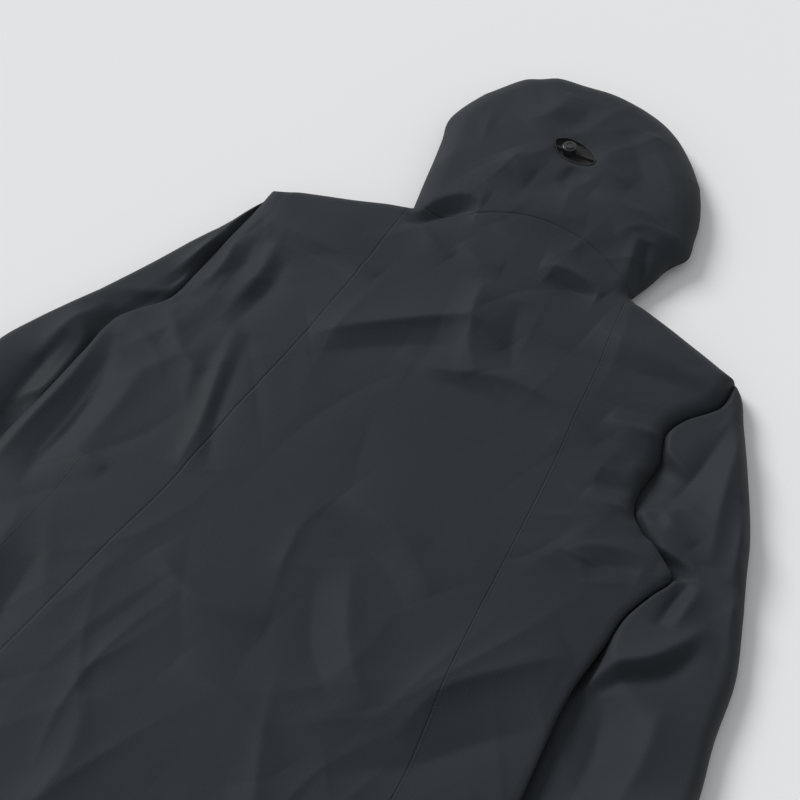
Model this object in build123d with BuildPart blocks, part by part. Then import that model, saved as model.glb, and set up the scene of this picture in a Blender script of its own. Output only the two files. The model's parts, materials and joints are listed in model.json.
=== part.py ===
"""Hooded hardshell jacket, lying flat on its front with its back up.

+X runs to the wearer's right, +Y from the hem to the top of the hood, and +Z up from the surface that
the jacket lies on. The origin is under the middle of the laid-out jacket. All sizes are millimetres.
"""

import os
from math import radians, tan

from build123d import *

# ---- driving dimensions ----
TOTAL_LENGTH = 986.0  # hem to the top of the hood
HEM_Y = -TOTAL_LENGTH / 2
HOOD_TOP_Y = TOTAL_LENGTH / 2
HOOD_RADIUS = 143.0
HOOD_CENTRE_Y = HOOD_TOP_Y - HOOD_RADIUS
HOOD_HEIGHT = 46.0
HOOD_START_Y = 298.0  # the fold line between collar and hood
COLLAR_END_Y = HOOD_START_Y - 2.0
COLLAR_HALF_TOP = 126.0
NECK_HALF = 115.0
NECK_Y = 255.0
SHOULDER_Y = 206.0
TORSO_HALF = 250.0
TORSO_HEIGHT = 36.0
WALL = 1.2  # a shell sheet
SIDE_SEAM_Z = 8.0  # where the back half of the torso meets the front half
TORSO_ROUND = 12.0
FLOOR_ROUND = 4.0
MOUTH_DEPTH = 14.0  # how far the hem and neck openings are cut into the hollow shell

# sleeve: everything outboard of the armhole plane
ARMHOLE_X = 253.5
ARMHOLE_TOP_Y = 185.0
ARMHOLE_LOW_Y = -5.0
SLEEVE_HEIGHT = 30.0
SLEEVE_ROUND = 6.0
SLEEVE_SEAM_Z = 9.0
CUFF_START_Y = -348.0
CUFF_END_Y = -406.0
CUFF_HEIGHT = 26.0
CUFF_WALL = 2.0
CUFF_TOP = CUFF_HEIGHT - 0.6
CUFF_MOUTH = (270.0, 368.0)  # the opening of the cuff, from the inner edge to the outer one
SLEEVE_OUTLINE = [
    (ARMHOLE_X, 174.0),
    (ARMHOLE_X + 10.0, 174.0),
    (333.0, 18.0),
    (367.0, -80.0),
    (383.0, -194.0),
    (376.0, CUFF_START_Y),
    (262.0, CUFF_START_Y),
    (256.0, -200.0),
    (ARMHOLE_X, -20.0),
]
CUFF_OUTLINE = [
    (376.0, CUFF_START_Y - 0.3),
    (372.0, CUFF_END_Y),
    (266.0, CUFF_END_Y),
    (262.0, CUFF_START_Y - 0.3),
]

# zip fasteners: heights are measured from the chain's middle plane
CHAIN_Z = 6.5
TAPE_HALF_THICK = 0.4
COIL_HALF_THICK = 1.3
COIL_INNER = 1.1
COIL_OUTER = 3.6
SLIDER_HALF_WIDTH = 5.4
SLIDER_LENGTH = 11.0
SLIDER_PLATE = 1.4
SLIDER_GAP = 0.35
FLANGE_WIDTH = 1.3
PULL_AXIS_DROP = 4.4
PULL_LENGTH = 18.0
PULL_WIDTH = 7.0
PULL_HALF_THICK = 0.6
KNUCKLE_WIDTH = 2.8
LUG_X = 2.2  # a pull lug's distance from the slider's middle
LUG_THICK = 1.2
LUG_LENGTH = 3.0
POST_WIDTH = 1.4
POST_LENGTH = 2.4
PIN_RADIUS = 0.6
PIN_CLEARANCE = 0.08
ZIP_FRAME_HALF = 11.0  # the raised frame round a pocket or underarm zip
ZIP_FRAME_WALL = 1.2
ZIP_FRAME_EXTRA = 6.0  # how much longer the frame is than its zip
MAIN_ZIP_TOP_Y = 270.0
MAIN_ZIP_SLIDER_Y = 262.0
MAIN_CHANNEL_HALF = 24.0
MAIN_TAPE_FLAT_HALF = 14.0

# zip name: centre x, centre y, length, turn in degrees
SMALL_ZIPS = {
    "hand_pocket_left": (-150.0, -230.0, 170.0, -6.0),
    "hand_pocket_right": (150.0, -230.0, 170.0, 6.0),
    "underarm_left": (-222.0, -20.0, 200.0, 0.0),
    "underarm_right": (222.0, -20.0, 200.0, 0.0),
}

HOOD_LOCK_Z = 36.3
CHIN_LOCK_X = 108.0
CHIN_LOCK_Y = 330.0
HEM_LOCK_X = 222.0
HEM_LOCK_Y = -478.0
HEM_LOCK_Z = 19.0

# cord locks: name: x, y, z of the foot, and 1 for a button on top or -1 for one underneath
CORD_LOCKS = {
    "hood_rear": (-9.0, 377.0, HOOD_LOCK_Z, 1),
    "hood_chin_left": (-CHIN_LOCK_X, CHIN_LOCK_Y, 10.5, -1),
    "hood_chin_right": (CHIN_LOCK_X, CHIN_LOCK_Y, 10.5, -1),
    "hem_left": (-HEM_LOCK_X, HEM_LOCK_Y, HEM_LOCK_Z, 1),
    "hem_right": (HEM_LOCK_X, HEM_LOCK_Y, HEM_LOCK_Z, 1),
}
LOCK_RADIUS = 7.0
LOCK_HEIGHT = 9.0
LOCK_BORE = 4.7
LOCK_FLOOR = 3.3
LOCK_CORD_RISE = 1.6
BUTTON_RADIUS = 4.6
BUTTON_START = 5.9
BUTTON_TOP = 10.2
SPRING_RADIUS = 3.1
SPRING_WIRE = 0.28
CORD_RADIUS = 1.2
CORD_HOLE = CORD_RADIUS + 0.1
HOOD_CORD_LENGTH = 56.0

ADJUSTER_X = -3.0
ADJUSTER_Y = 377.0
ADJUSTER_HALF_LENGTH = 21.0
ADJUSTER_HALF_WIDTH = 13.0

BACK_SEAM_X_AT_NECK = 120.0
BACK_SEAM_X_AT_HEM = 195.0

os.makedirs("parts", exist_ok=True)


def save(shape, name):
    """Labels one finished piece and writes its STEP file."""
    shape.label = name
    export_step(shape, f"parts/{name}.step")


def side_name(sign):
    """The wearer's side for a sign of X."""
    return "right" if sign > 0 else "left"


def mirrored(points, sign):
    """The outline points on the given side of the jacket."""
    return [(sign * x, y) for x, y in points]


def pillow(face, low, high, top_round, low_round):
    """A flat-laid bag: the face raised from low to high, with its upper and lower rims rounded."""
    with BuildPart() as body:
        with BuildSketch(Plane.XY.offset(low)):
            add(face)
        extrude(amount=high - low)
        fillet(body.faces().sort_by(Axis.Z)[-1].edges(), top_round)
        fillet(body.faces().sort_by(Axis.Z)[0].edges(), low_round)
    return body.part


def outline(points, rounding):
    """A closed plan outline with rounded corners."""
    with BuildSketch() as plan:
        with BuildLine():
            Polyline(*points, close=True)
        make_face()
        if rounding:
            fillet(plan.vertices(), rounding)
    return plan.sketch


def inset(face, amount):
    """The outline moved inwards by amount."""
    with BuildSketch() as plan:
        add(face)
        offset(amount=-amount, kind=Kind.INTERSECTION)
    return plan.sketch


def block(x0, x1, y0, y1, z0, z1):
    """A box given by its two corners, for cutting and for splitting shells."""
    middle = Pos((x0 + x1) / 2, (y0 + y1) / 2, (z0 + z1) / 2)
    return middle * Box(x1 - x0, y1 - y0, z1 - z0, mode=Mode.PRIVATE)


def cut_to(shell, *keep):
    """The part of a shell inside every one of the given solids."""
    with BuildPart() as piece:
        add(shell)
        for solid in keep:
            add(solid, mode=Mode.INTERSECT)
    return piece.part


# ---- torso and collar ----
FAR = 1200.0


def torso_shell():
    """The whole hollow torso and collar: open at the hem, at the hood and at both armholes."""
    half = [
        (TORSO_HALF, HEM_Y),
        (TORSO_HALF, SHOULDER_Y),
        (NECK_HALF, NECK_Y),
        (COLLAR_HALF_TOP, COLLAR_END_Y),
    ]
    face = outline(half + mirrored(reversed(half), -1), 0)
    with BuildPart() as shell:
        add(pillow(face, 0, TORSO_HEIGHT, TORSO_ROUND, FLOOR_ROUND))
        add(
            pillow(
                inset(face, WALL), WALL, TORSO_HEIGHT - WALL, TORSO_ROUND - WALL, FLOOR_ROUND - WALL
            ),
            mode=Mode.SUBTRACT,
        )
        inner = TORSO_HALF - TORSO_ROUND
        add(
            block(-inner, inner, HEM_Y - 1, HEM_Y + MOUTH_DEPTH, WALL, TORSO_HEIGHT - WALL),
            mode=Mode.SUBTRACT,
        )
        neck = COLLAR_HALF_TOP - TORSO_ROUND
        add(
            block(
                -neck, neck, COLLAR_END_Y - MOUTH_DEPTH, COLLAR_END_Y + 1, WALL, TORSO_HEIGHT - WALL
            ),
            mode=Mode.SUBTRACT,
        )
        for sign in (-1, 1):
            wall_x = sorted((sign * (TORSO_HALF - 8), sign * (TORSO_HALF + 1)))
            add(
                block(*wall_x, ARMHOLE_LOW_Y, ARMHOLE_TOP_Y, FLOOR_ROUND, TORSO_HEIGHT - TORSO_ROUND),
                mode=Mode.SUBTRACT,
            )
    return shell.part


def between_back_seams():
    """The upright wedge between the two straight seams of the back."""
    with BuildPart() as wedge:
        with BuildSketch():
            with BuildLine():
                Polyline(
                    (-BACK_SEAM_X_AT_HEM, HEM_Y),
                    (BACK_SEAM_X_AT_HEM, HEM_Y),
                    (BACK_SEAM_X_AT_NECK, NECK_Y),
                    (-BACK_SEAM_X_AT_NECK, NECK_Y),
                    close=True,
                )
            make_face()
        extrude(amount=TORSO_HEIGHT)
    return wedge.part


def small_zip_plane(name):
    """The plan plane of a pocket or underarm zip, with its Y along the chain."""
    x, y, _, turn = SMALL_ZIPS[name]
    return Plane.XY.offset(0).shift_origin((x, y, 0)).rotated((0, 0, turn))


def front_panel(shell, sign):
    """One front half below the side seam, with raised frames for its pocket and underarm zips."""
    x_range = sorted((sign * MAIN_CHANNEL_HALF, sign * FAR))
    with BuildPart() as panel:
        add(cut_to(shell, block(*x_range, -FAR, NECK_Y, 0, SIDE_SEAM_Z)))
        for name in (f"hand_pocket_{side_name(sign)}", f"underarm_{side_name(sign)}"):
            plane = small_zip_plane(name)
            length = SMALL_ZIPS[name][2]
            frame = (2 * ZIP_FRAME_HALF, length + ZIP_FRAME_EXTRA)
            hole = (frame[0] - 2 * ZIP_FRAME_WALL, frame[1] - 2 * ZIP_FRAME_WALL)
            with BuildSketch(plane):
                Rectangle(*frame)
            extrude(amount=CHAIN_Z + TAPE_HALF_THICK)
            with BuildSketch(plane):
                Rectangle(*hole)
            extrude(amount=CHAIN_Z + TAPE_HALF_THICK, mode=Mode.SUBTRACT)
    return panel.part


shell = torso_shell()
upper = block(-FAR, FAR, -FAR, NECK_Y, SIDE_SEAM_Z, TORSO_HEIGHT)
save(cut_to(shell, upper, between_back_seams()), "back_panel")
for sign in (-1, 1):
    side = side_name(sign)
    outer_half = block(*sorted((0, sign * FAR)), -FAR, NECK_Y, SIDE_SEAM_Z, TORSO_HEIGHT)
    with BuildPart() as side_panel:
        add(cut_to(shell, outer_half))
        add(between_back_seams(), mode=Mode.SUBTRACT)
    below_underarm = block(-FAR, FAR, -FAR, ARMHOLE_LOW_Y, 0, TORSO_HEIGHT)
    above_underarm = block(-FAR, FAR, ARMHOLE_LOW_Y, NECK_Y, 0, TORSO_HEIGHT)
    save(cut_to(side_panel.part, below_underarm), f"side_panel_{side}")
    save(cut_to(side_panel.part, above_underarm), f"shoulder_panel_{side}")
    save(front_panel(shell, sign), f"front_panel_{side}")
    collar_x = sorted((sign * MAIN_CHANNEL_HALF, sign * FAR))
    collar_front = cut_to(shell, block(*collar_x, NECK_Y, FAR, 0, SIDE_SEAM_Z))
    save(collar_front, f"collar_front_{side}")
save(cut_to(shell, block(-FAR, FAR, NECK_Y, FAR, SIDE_SEAM_Z, TORSO_HEIGHT)), "collar_back")


# ---- zip fasteners ----
def zip_slider(plane):
    """A slider on a chain that runs along the plane's Y: two plates, side flanges, a post and pull lugs."""
    plate_in = COIL_HALF_THICK + SLIDER_GAP
    plate_out = plate_in + SLIDER_PLATE
    lug_low = PULL_AXIS_DROP + PIN_RADIUS + 0.5
    flange_x = SLIDER_HALF_WIDTH - FLANGE_WIDTH / 2
    flange_height = plate_in - 2 * TAPE_HALF_THICK
    with BuildPart() as slider:
        for low in (-plate_out, plate_in):
            with BuildSketch(plane.offset(low)):
                RectangleRounded(2 * SLIDER_HALF_WIDTH, SLIDER_LENGTH, 2.0)
            extrude(amount=SLIDER_PLATE)
        for low in (-plate_in, plate_in - flange_height):
            with BuildSketch(plane.offset(low)):
                with Locations((-flange_x, 0), (flange_x, 0)):
                    Rectangle(FLANGE_WIDTH, SLIDER_LENGTH - 3)
            extrude(amount=flange_height)
        with BuildSketch(plane.offset(-plate_in)):
            with Locations((0, SLIDER_LENGTH / 2 - 1.6)):
                Rectangle(POST_WIDTH, POST_LENGTH)
        extrude(amount=2 * plate_in)
        with BuildSketch(plane.offset(-lug_low)):
            with Locations((-LUG_X, 0), (LUG_X, 0)):
                Rectangle(LUG_THICK, LUG_LENGTH)
        extrude(amount=lug_low - plate_out)
        pin_plane = Plane(
            plane.origin - plane.z_dir * PULL_AXIS_DROP - plane.x_dir * LUG_X,
            x_dir=plane.y_dir,
            z_dir=plane.x_dir,
        )
        with BuildSketch(pin_plane):
            Circle(PIN_RADIUS)
        extrude(amount=2 * LUG_X)
    return slider.part


def zip_pull(plane):
    """The pull tab: a knuckle round the slider's pin and a tongue towards the chain's lower end."""
    knuckle = PIN_RADIUS + 0.6
    axis_height = -PULL_AXIS_DROP
    tongue = PULL_LENGTH - 4.0
    with BuildPart() as pull:
        knuckle_plane = Plane(
            plane.origin + plane.z_dir * axis_height - plane.x_dir * KNUCKLE_WIDTH / 2,
            x_dir=plane.y_dir,
            z_dir=plane.x_dir,
        )
        with BuildSketch(knuckle_plane):
            Circle(knuckle)
        extrude(amount=KNUCKLE_WIDTH)
        with BuildSketch(plane.offset(axis_height - PULL_HALF_THICK)):
            with Locations((0, -2.5)):
                Rectangle(KNUCKLE_WIDTH, 4.6)
            with Locations((0, tongue / 2 - PULL_LENGTH)):
                RectangleRounded(PULL_WIDTH, tongue, 2.4)
        extrude(amount=2 * PULL_HALF_THICK)
        with BuildSketch(knuckle_plane):
            Circle(PIN_RADIUS + PIN_CLEARANCE)
        extrude(amount=KNUCKLE_WIDTH, mode=Mode.SUBTRACT)
        with BuildSketch(plane.offset(axis_height - PULL_HALF_THICK)):
            with Locations((0, -PULL_LENGTH + 3.0)):
                SlotOverall(3.6, 1.8)
        extrude(amount=2 * PULL_HALF_THICK, mode=Mode.SUBTRACT)
    return pull.part


def small_zip_chain(name):
    """Two tapes with their coils, closed by a bar at each end, filling the panel's raised frame."""
    plane = small_zip_plane(name)
    length = SMALL_ZIPS[name][2] + ZIP_FRAME_EXTRA - 2 * ZIP_FRAME_WALL
    width = 2 * (ZIP_FRAME_HALF - ZIP_FRAME_WALL)
    coil_length = length - 8
    with BuildPart() as chain:
        with BuildSketch(plane.offset(CHAIN_Z - TAPE_HALF_THICK)):
            Rectangle(width, length)
            Rectangle(2 * COIL_OUTER - 0.2, coil_length, mode=Mode.SUBTRACT)
        extrude(amount=2 * TAPE_HALF_THICK)
        with BuildSketch(plane.offset(CHAIN_Z - COIL_HALF_THICK)):
            middle = (COIL_INNER + COIL_OUTER) / 2
            with Locations((-middle, 0), (middle, 0)):
                Rectangle(COIL_OUTER - COIL_INNER, coil_length)
        extrude(amount=2 * COIL_HALF_THICK)
    return chain.part


for name, (_, _, length, _) in SMALL_ZIPS.items():
    save(small_zip_chain(name), f"{name}_zip")
    plan = small_zip_plane(name)
    place = Plane(
        plan.origin + plan.y_dir * (length / 2 - 9) + plan.z_dir * CHAIN_Z,
        x_dir=plan.x_dir,
        z_dir=plan.z_dir,
    )
    save(zip_slider(place), f"{name}_slider")
    save(zip_pull(place), f"{name}_pull")

main_place = Plane((0, MAIN_ZIP_SLIDER_Y, CHAIN_Z))
save(zip_slider(main_place), "main_zip_slider")
save(zip_pull(main_place), "main_zip_pull")


def main_zip_tape(sign):
    """One half of the front zip: a tape that climbs from the front panel to the chain, with its coil."""
    low, high = CHAIN_Z - TAPE_HALF_THICK, CHAIN_Z + TAPE_HALF_THICK
    with BuildPart() as tape:
        with BuildSketch(Plane.XZ.offset(-COLLAR_END_Y)):
            with BuildLine():
                Polyline(
                    (sign * MAIN_CHANNEL_HALF, 0),
                    (sign * MAIN_CHANNEL_HALF, WALL),
                    (sign * MAIN_TAPE_FLAT_HALF, high),
                    (sign * COIL_OUTER, high),
                    (sign * COIL_OUTER, low),
                    (sign * (MAIN_TAPE_FLAT_HALF + 0.6), low),
                    (sign * (MAIN_CHANNEL_HALF - 1.4), 0),
                    close=True,
                )
            make_face()
        extrude(amount=COLLAR_END_Y - HEM_Y)
        with BuildSketch(Plane.XZ.offset(-MAIN_ZIP_TOP_Y)):
            with Locations((sign * (COIL_INNER + COIL_OUTER) / 2, CHAIN_Z)):
                Rectangle(COIL_OUTER - COIL_INNER, 2 * COIL_HALF_THICK)
        extrude(amount=MAIN_ZIP_TOP_Y - HEM_Y - 5)
    return tape.part


for sign in (-1, 1):
    save(main_zip_tape(sign), f"main_zip_tape_{side_name(sign)}")

GARAGE_WIDTH = 26.0
GARAGE_LENGTH = 22.0
GARAGE_THICK = 1.5
GARAGE_Y = MAIN_ZIP_TOP_Y + 13
with BuildPart() as zip_garage:
    with BuildSketch(Plane.XY.offset(CHAIN_Z + TAPE_HALF_THICK)):
        with Locations((0, GARAGE_Y)):
            RectangleRounded(GARAGE_WIDTH, GARAGE_LENGTH, 5)
    extrude(amount=GARAGE_THICK)
    with BuildSketch(Plane.XY.offset(CHAIN_Z - TAPE_HALF_THICK)):
        with Locations((0, GARAGE_Y)):
            Rectangle(2 * COIL_OUTER, GARAGE_LENGTH)
    extrude(amount=2 * TAPE_HALF_THICK)
save(zip_garage.part, "zip_garage")

INNER_LAYER_Z = 10.2  # the storm flap and the pocket bags lie just inside the zips
FLAP_WIDTH = 36.0
with BuildPart() as storm_flap:
    with BuildSketch(Plane.XY.offset(INNER_LAYER_Z)):
        with Locations((0, (HEM_Y + COLLAR_END_Y) / 2)):
            RectangleRounded(FLAP_WIDTH, COLLAR_END_Y - HEM_Y - 10, 6)
    extrude(amount=WALL)
save(storm_flap.part, "storm_flap")

# ---- pocket bags ----
BAG_WIDTH = 140.0
BAG_LENGTH = 205.0
BAG_X = 138.0
BAG_Y = -235.0
BAG_THICK = 8.0
BAG_CORNER = 22.0
BAG_MOUTH_WIDTH = 14.0
for sign in (-1, 1):
    with BuildPart() as bag:
        with BuildSketch(Plane.XY.offset(INNER_LAYER_Z)):
            with Locations((sign * BAG_X, BAG_Y)):
                RectangleRounded(BAG_WIDTH, BAG_LENGTH, BAG_CORNER)
        extrude(amount=BAG_THICK)
        with BuildSketch(Plane.XY.offset(INNER_LAYER_Z + WALL)):
            with Locations((sign * BAG_X, BAG_Y)):
                RectangleRounded(BAG_WIDTH - 2 * WALL, BAG_LENGTH - 2 * WALL, BAG_CORNER - 2)
        extrude(amount=BAG_THICK - 2 * WALL, mode=Mode.SUBTRACT)
        zip_name = f"hand_pocket_{side_name(sign)}"
        with BuildSketch(small_zip_plane(zip_name).offset(INNER_LAYER_Z - 1)):
            Rectangle(BAG_MOUTH_WIDTH, SMALL_ZIPS[zip_name][2] - 10)
        extrude(amount=WALL + 2, mode=Mode.SUBTRACT)
    save(bag.part, f"pocket_bag_{side_name(sign)}")


# ---- sleeves ----
def sleeve_shell(sign):
    """The hollow sleeve without its cuff: open into the torso and at the cuff."""
    face = outline(mirrored(SLEEVE_OUTLINE, sign), 0)
    with BuildPart() as shell:
        add(pillow(face, 0, SLEEVE_HEIGHT, SLEEVE_ROUND, FLOOR_ROUND))
        add(
            pillow(
                inset(face, WALL), WALL, SLEEVE_HEIGHT - WALL, SLEEVE_ROUND - WALL, FLOOR_ROUND - WALL
            ),
            mode=Mode.SUBTRACT,
        )
        wall_x = sorted((sign * (ARMHOLE_X - 1), sign * (ARMHOLE_X + 8)))
        add(
            block(
                *wall_x, ARMHOLE_LOW_Y, ARMHOLE_TOP_Y - 25, FLOOR_ROUND, SLEEVE_HEIGHT - SLEEVE_ROUND
            ),
            mode=Mode.SUBTRACT,
        )
        mouth_x = sorted(sign * x for x in CUFF_MOUTH)
        add(
            block(*mouth_x, CUFF_START_Y - 1, CUFF_START_Y + 12, CUFF_WALL, CUFF_HEIGHT - 2.6),
            mode=Mode.SUBTRACT,
        )
    return shell.part


def cuff(sign):
    """The stiffened end band of a sleeve, open at both ends."""
    face = outline(mirrored(CUFF_OUTLINE, sign), 0)
    with BuildPart() as band:
        with BuildSketch():
            add(face)
        extrude(amount=CUFF_TOP)
        fillet(band.edges().filter_by(Axis.Y, tolerance=12), 5)
        inner_x = sorted(sign * x for x in CUFF_MOUTH)
        add(
            block(*inner_x, CUFF_END_Y - 1, CUFF_START_Y + 1, CUFF_WALL, CUFF_TOP - CUFF_WALL),
            mode=Mode.SUBTRACT,
        )
    return band.part


TAB_X = 332.0
TAB_LENGTH = 70.0
TAB_WIDTH = 27.0
TAB_THICK = 1.8


def cuff_tab(sign):
    """The pull tab that tightens the cuff, lying on top of it and hinged at its outer end."""
    with BuildPart() as tab:
        with BuildSketch(Plane.XY.offset(CUFF_HEIGHT)):
            with Locations((sign * TAB_X, (CUFF_START_Y + CUFF_END_Y) / 2)):
                RectangleRounded(TAB_LENGTH, TAB_WIDTH, 8)
        extrude(amount=TAB_THICK)
    return tab.part


for sign in (-1, 1):
    side = side_name(sign)
    whole = sleeve_shell(sign)
    save(cut_to(whole, block(-FAR, FAR, -FAR, FAR, SLEEVE_SEAM_Z, SLEEVE_HEIGHT)), f"upper_sleeve_{side}")
    save(cut_to(whole, block(-FAR, FAR, -FAR, FAR, 0, SLEEVE_SEAM_Z)), f"under_sleeve_{side}")
    save(cuff(sign), f"cuff_{side}")
    save(cuff_tab(sign), f"cuff_tab_{side}")

# ---- hood ----
HOOD_ROUND = 16.0
HOOD_FLOOR_ROUND = 5.0
HOOD_SEAM_Z = 10.0
FACE_CENTRE_Y = 386.0
FACE_HALF_WIDTH = 80.0
FACE_HALF_HEIGHT = 68.0
WASTE = 400.0  # the width of a block that trims the hood and its brim
BRIM_LOW_Y = 410.0
BRIM_THICK = 2.4


def hood_plan(shrink):
    """The round hood outline, cut off straight at the collar."""
    with BuildSketch() as plan:
        with Locations((0, HOOD_CENTRE_Y)):
            Circle(HOOD_RADIUS - shrink)
        with Locations((0, HOOD_START_Y + shrink - WASTE / 2)):
            Rectangle(WASTE, WASTE, mode=Mode.SUBTRACT)
    return plan.sketch


def hood_shell():
    """The hollow hood: open at the collar, at the face and at the rear adjuster."""
    with BuildPart() as hood:
        add(pillow(hood_plan(0), 0, HOOD_HEIGHT, HOOD_ROUND, HOOD_FLOOR_ROUND))
        add(
            pillow(
                hood_plan(WALL), WALL, HOOD_HEIGHT - WALL, HOOD_ROUND - WALL, HOOD_FLOOR_ROUND - WALL
            ),
            mode=Mode.SUBTRACT,
        )
        neck = COLLAR_HALF_TOP - TORSO_ROUND
        add(
            block(-neck, neck, HOOD_START_Y - 1, HOOD_START_Y + 18, WALL, HOOD_HEIGHT - HOOD_ROUND),
            mode=Mode.SUBTRACT,
        )
        with BuildSketch():
            with Locations((0, FACE_CENTRE_Y)):
                Ellipse(FACE_HALF_WIDTH, FACE_HALF_HEIGHT)
        extrude(amount=WALL + 1, mode=Mode.SUBTRACT)
        with BuildSketch(Plane.XY.offset(HOOD_HEIGHT - WALL - 1)):
            with Locations((ADJUSTER_X, ADJUSTER_Y)):
                Ellipse(ADJUSTER_HALF_LENGTH, ADJUSTER_HALF_WIDTH)
        extrude(amount=WALL + 2, mode=Mode.SUBTRACT)
        with BuildSketch():
            with Locations((-CHIN_LOCK_X, CHIN_LOCK_Y), (CHIN_LOCK_X, CHIN_LOCK_Y)):
                Circle(LOCK_RADIUS + 0.3)
        extrude(amount=WALL + 1, mode=Mode.SUBTRACT)
    return hood.part


whole_hood = hood_shell()
save(cut_to(whole_hood, block(-FAR, FAR, -FAR, FAR, HOOD_SEAM_Z, HOOD_HEIGHT + 1)), "hood_back")
for sign in (-1, 1):
    half = block(*sorted((0, sign * FAR)), -FAR, FAR, 0, HOOD_SEAM_Z)
    save(cut_to(whole_hood, half), f"hood_front_{side_name(sign)}")

with BuildPart() as brim:
    with BuildSketch(Plane.XY.offset(WALL + 0.1)):
        with Locations((0, HOOD_CENTRE_Y)):
            Circle(HOOD_RADIUS - 10)
        with Locations((0, FACE_CENTRE_Y)):
            Ellipse(FACE_HALF_WIDTH, FACE_HALF_HEIGHT, mode=Mode.SUBTRACT)
        with Locations((0, BRIM_LOW_Y - WASTE / 2)):
            Rectangle(WASTE, WASTE, mode=Mode.SUBTRACT)
    extrude(amount=BRIM_THICK)
save(brim.part, "hood_brim")

RECESS_LOW = 35.0
RECESS_FLOOR = 1.2
with BuildPart() as recess:
    with BuildSketch(Plane.XY.offset(RECESS_LOW)):
        with Locations((ADJUSTER_X, ADJUSTER_Y)):
            Ellipse(ADJUSTER_HALF_LENGTH + 2, ADJUSTER_HALF_WIDTH + 2)
    extrude(amount=HOOD_HEIGHT - WALL - RECESS_LOW)
    with BuildSketch(Plane.XY.offset(RECESS_LOW + RECESS_FLOOR)):
        with Locations((ADJUSTER_X, ADJUSTER_Y)):
            Ellipse(ADJUSTER_HALF_LENGTH + 0.8, ADJUSTER_HALF_WIDTH + 0.8)
    extrude(amount=HOOD_HEIGHT, mode=Mode.SUBTRACT)
    with BuildSketch(Plane.YZ.offset(ADJUSTER_X - 30)):
        with Locations((ADJUSTER_Y, HOOD_LOCK_Z + LOCK_CORD_RISE)):
            Circle(CORD_HOLE)
    extrude(amount=60, mode=Mode.SUBTRACT)
save(recess.part, "adjuster_recess")


# ---- cord locks and cords ----
def lock_plane(x, y, z, sign):
    """The lock's foot plane, with its Z towards the button."""
    return Plane((x, y, z), x_dir=(1, 0, 0), z_dir=(0, 0, sign))


def lock_housing(plane):
    """A round housing with a blind bore for the button and a cross hole for the cord."""
    with BuildPart() as housing:
        with BuildSketch(plane):
            Circle(LOCK_RADIUS)
        extrude(amount=LOCK_HEIGHT)
        outward = Axis(plane.origin, plane.z_dir)
        fillet(housing.edges().filter_by(GeomType.CIRCLE).sort_by(outward)[-1], 0.8)
        with BuildSketch(plane.offset(LOCK_FLOOR)):
            Circle(LOCK_BORE)
        extrude(amount=LOCK_HEIGHT, mode=Mode.SUBTRACT)
        cross = Plane(
            plane.origin + plane.z_dir * LOCK_CORD_RISE - plane.x_dir * 10,
            x_dir=plane.y_dir,
            z_dir=plane.x_dir,
        )
        with BuildSketch(cross):
            Circle(CORD_HOLE)
        extrude(amount=20, mode=Mode.SUBTRACT)
    return housing.part


def lock_button(plane):
    """The sprung button, with a dished top."""
    with BuildPart() as button:
        with BuildSketch(plane.offset(BUTTON_START)):
            Circle(BUTTON_RADIUS)
        extrude(amount=BUTTON_TOP - BUTTON_START)
        with BuildSketch(plane.offset(BUTTON_TOP - 0.6)):
            Circle(BUTTON_RADIUS - 1.4)
        extrude(amount=1, mode=Mode.SUBTRACT)
    return button.part


def lock_spring(plane):
    """The coil spring between the housing's floor and the button."""
    rise = BUTTON_START - LOCK_FLOOR - 2 * SPRING_WIRE - 0.1
    low = LOCK_FLOOR + SPRING_WIRE + 0.05
    with BuildPart() as spring:
        with BuildLine():
            coil = Helix(pitch=rise / 3, height=rise, radius=SPRING_RADIUS)
        with BuildSketch(Plane(coil @ 0, z_dir=coil % 0)):
            Circle(SPRING_WIRE)
        sweep(path=coil, is_frenet=True)
    return plane.location * (Pos(0, 0, low) * spring.part)


for name, place in CORD_LOCKS.items():
    foot = lock_plane(*place)
    save(lock_housing(foot), f"{name}_lock")
    save(lock_button(foot), f"{name}_button")
    save(lock_spring(foot), f"{name}_spring")

with BuildPart() as hood_cord:
    with BuildSketch(Plane.YZ.offset(ADJUSTER_X - HOOD_CORD_LENGTH / 2)):
        with Locations((ADJUSTER_Y, HOOD_LOCK_Z + LOCK_CORD_RISE)):
            Circle(CORD_RADIUS)
    extrude(amount=HOOD_CORD_LENGTH)
save(hood_cord.part, "hood_rear_cord")

HEM_CORD_END_X = 238.0
HEM_CORD_BEND_X = 206.0
HEM_CORD_TOP_X = 180.0
HEM_CORD_LOW_Z = HEM_LOCK_Z + LOCK_CORD_RISE
HEM_CORD_TOP_Z = 31.0
with BuildPart() as hem_cord:
    with BuildLine():
        FilletPolyline(
            (-HEM_CORD_END_X, HEM_LOCK_Y, HEM_CORD_LOW_Z),
            (-HEM_CORD_BEND_X, HEM_LOCK_Y, HEM_CORD_LOW_Z),
            (-HEM_CORD_TOP_X, HEM_LOCK_Y, HEM_CORD_TOP_Z),
            (HEM_CORD_TOP_X, HEM_LOCK_Y, HEM_CORD_TOP_Z),
            (HEM_CORD_BEND_X, HEM_LOCK_Y, HEM_CORD_LOW_Z),
            (HEM_CORD_END_X, HEM_LOCK_Y, HEM_CORD_LOW_Z),
            radius=30,
        )
    with BuildSketch(Plane((-HEM_CORD_END_X, HEM_LOCK_Y, HEM_CORD_LOW_Z), z_dir=(1, 0, 0))):
        Circle(CORD_RADIUS)
    sweep()
save(hem_cord.part, "hem_cord")
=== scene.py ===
import json
import math

import bmesh
import bpy
import numpy as np
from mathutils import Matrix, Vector
from mathutils.bvhtree import BVHTree


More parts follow.
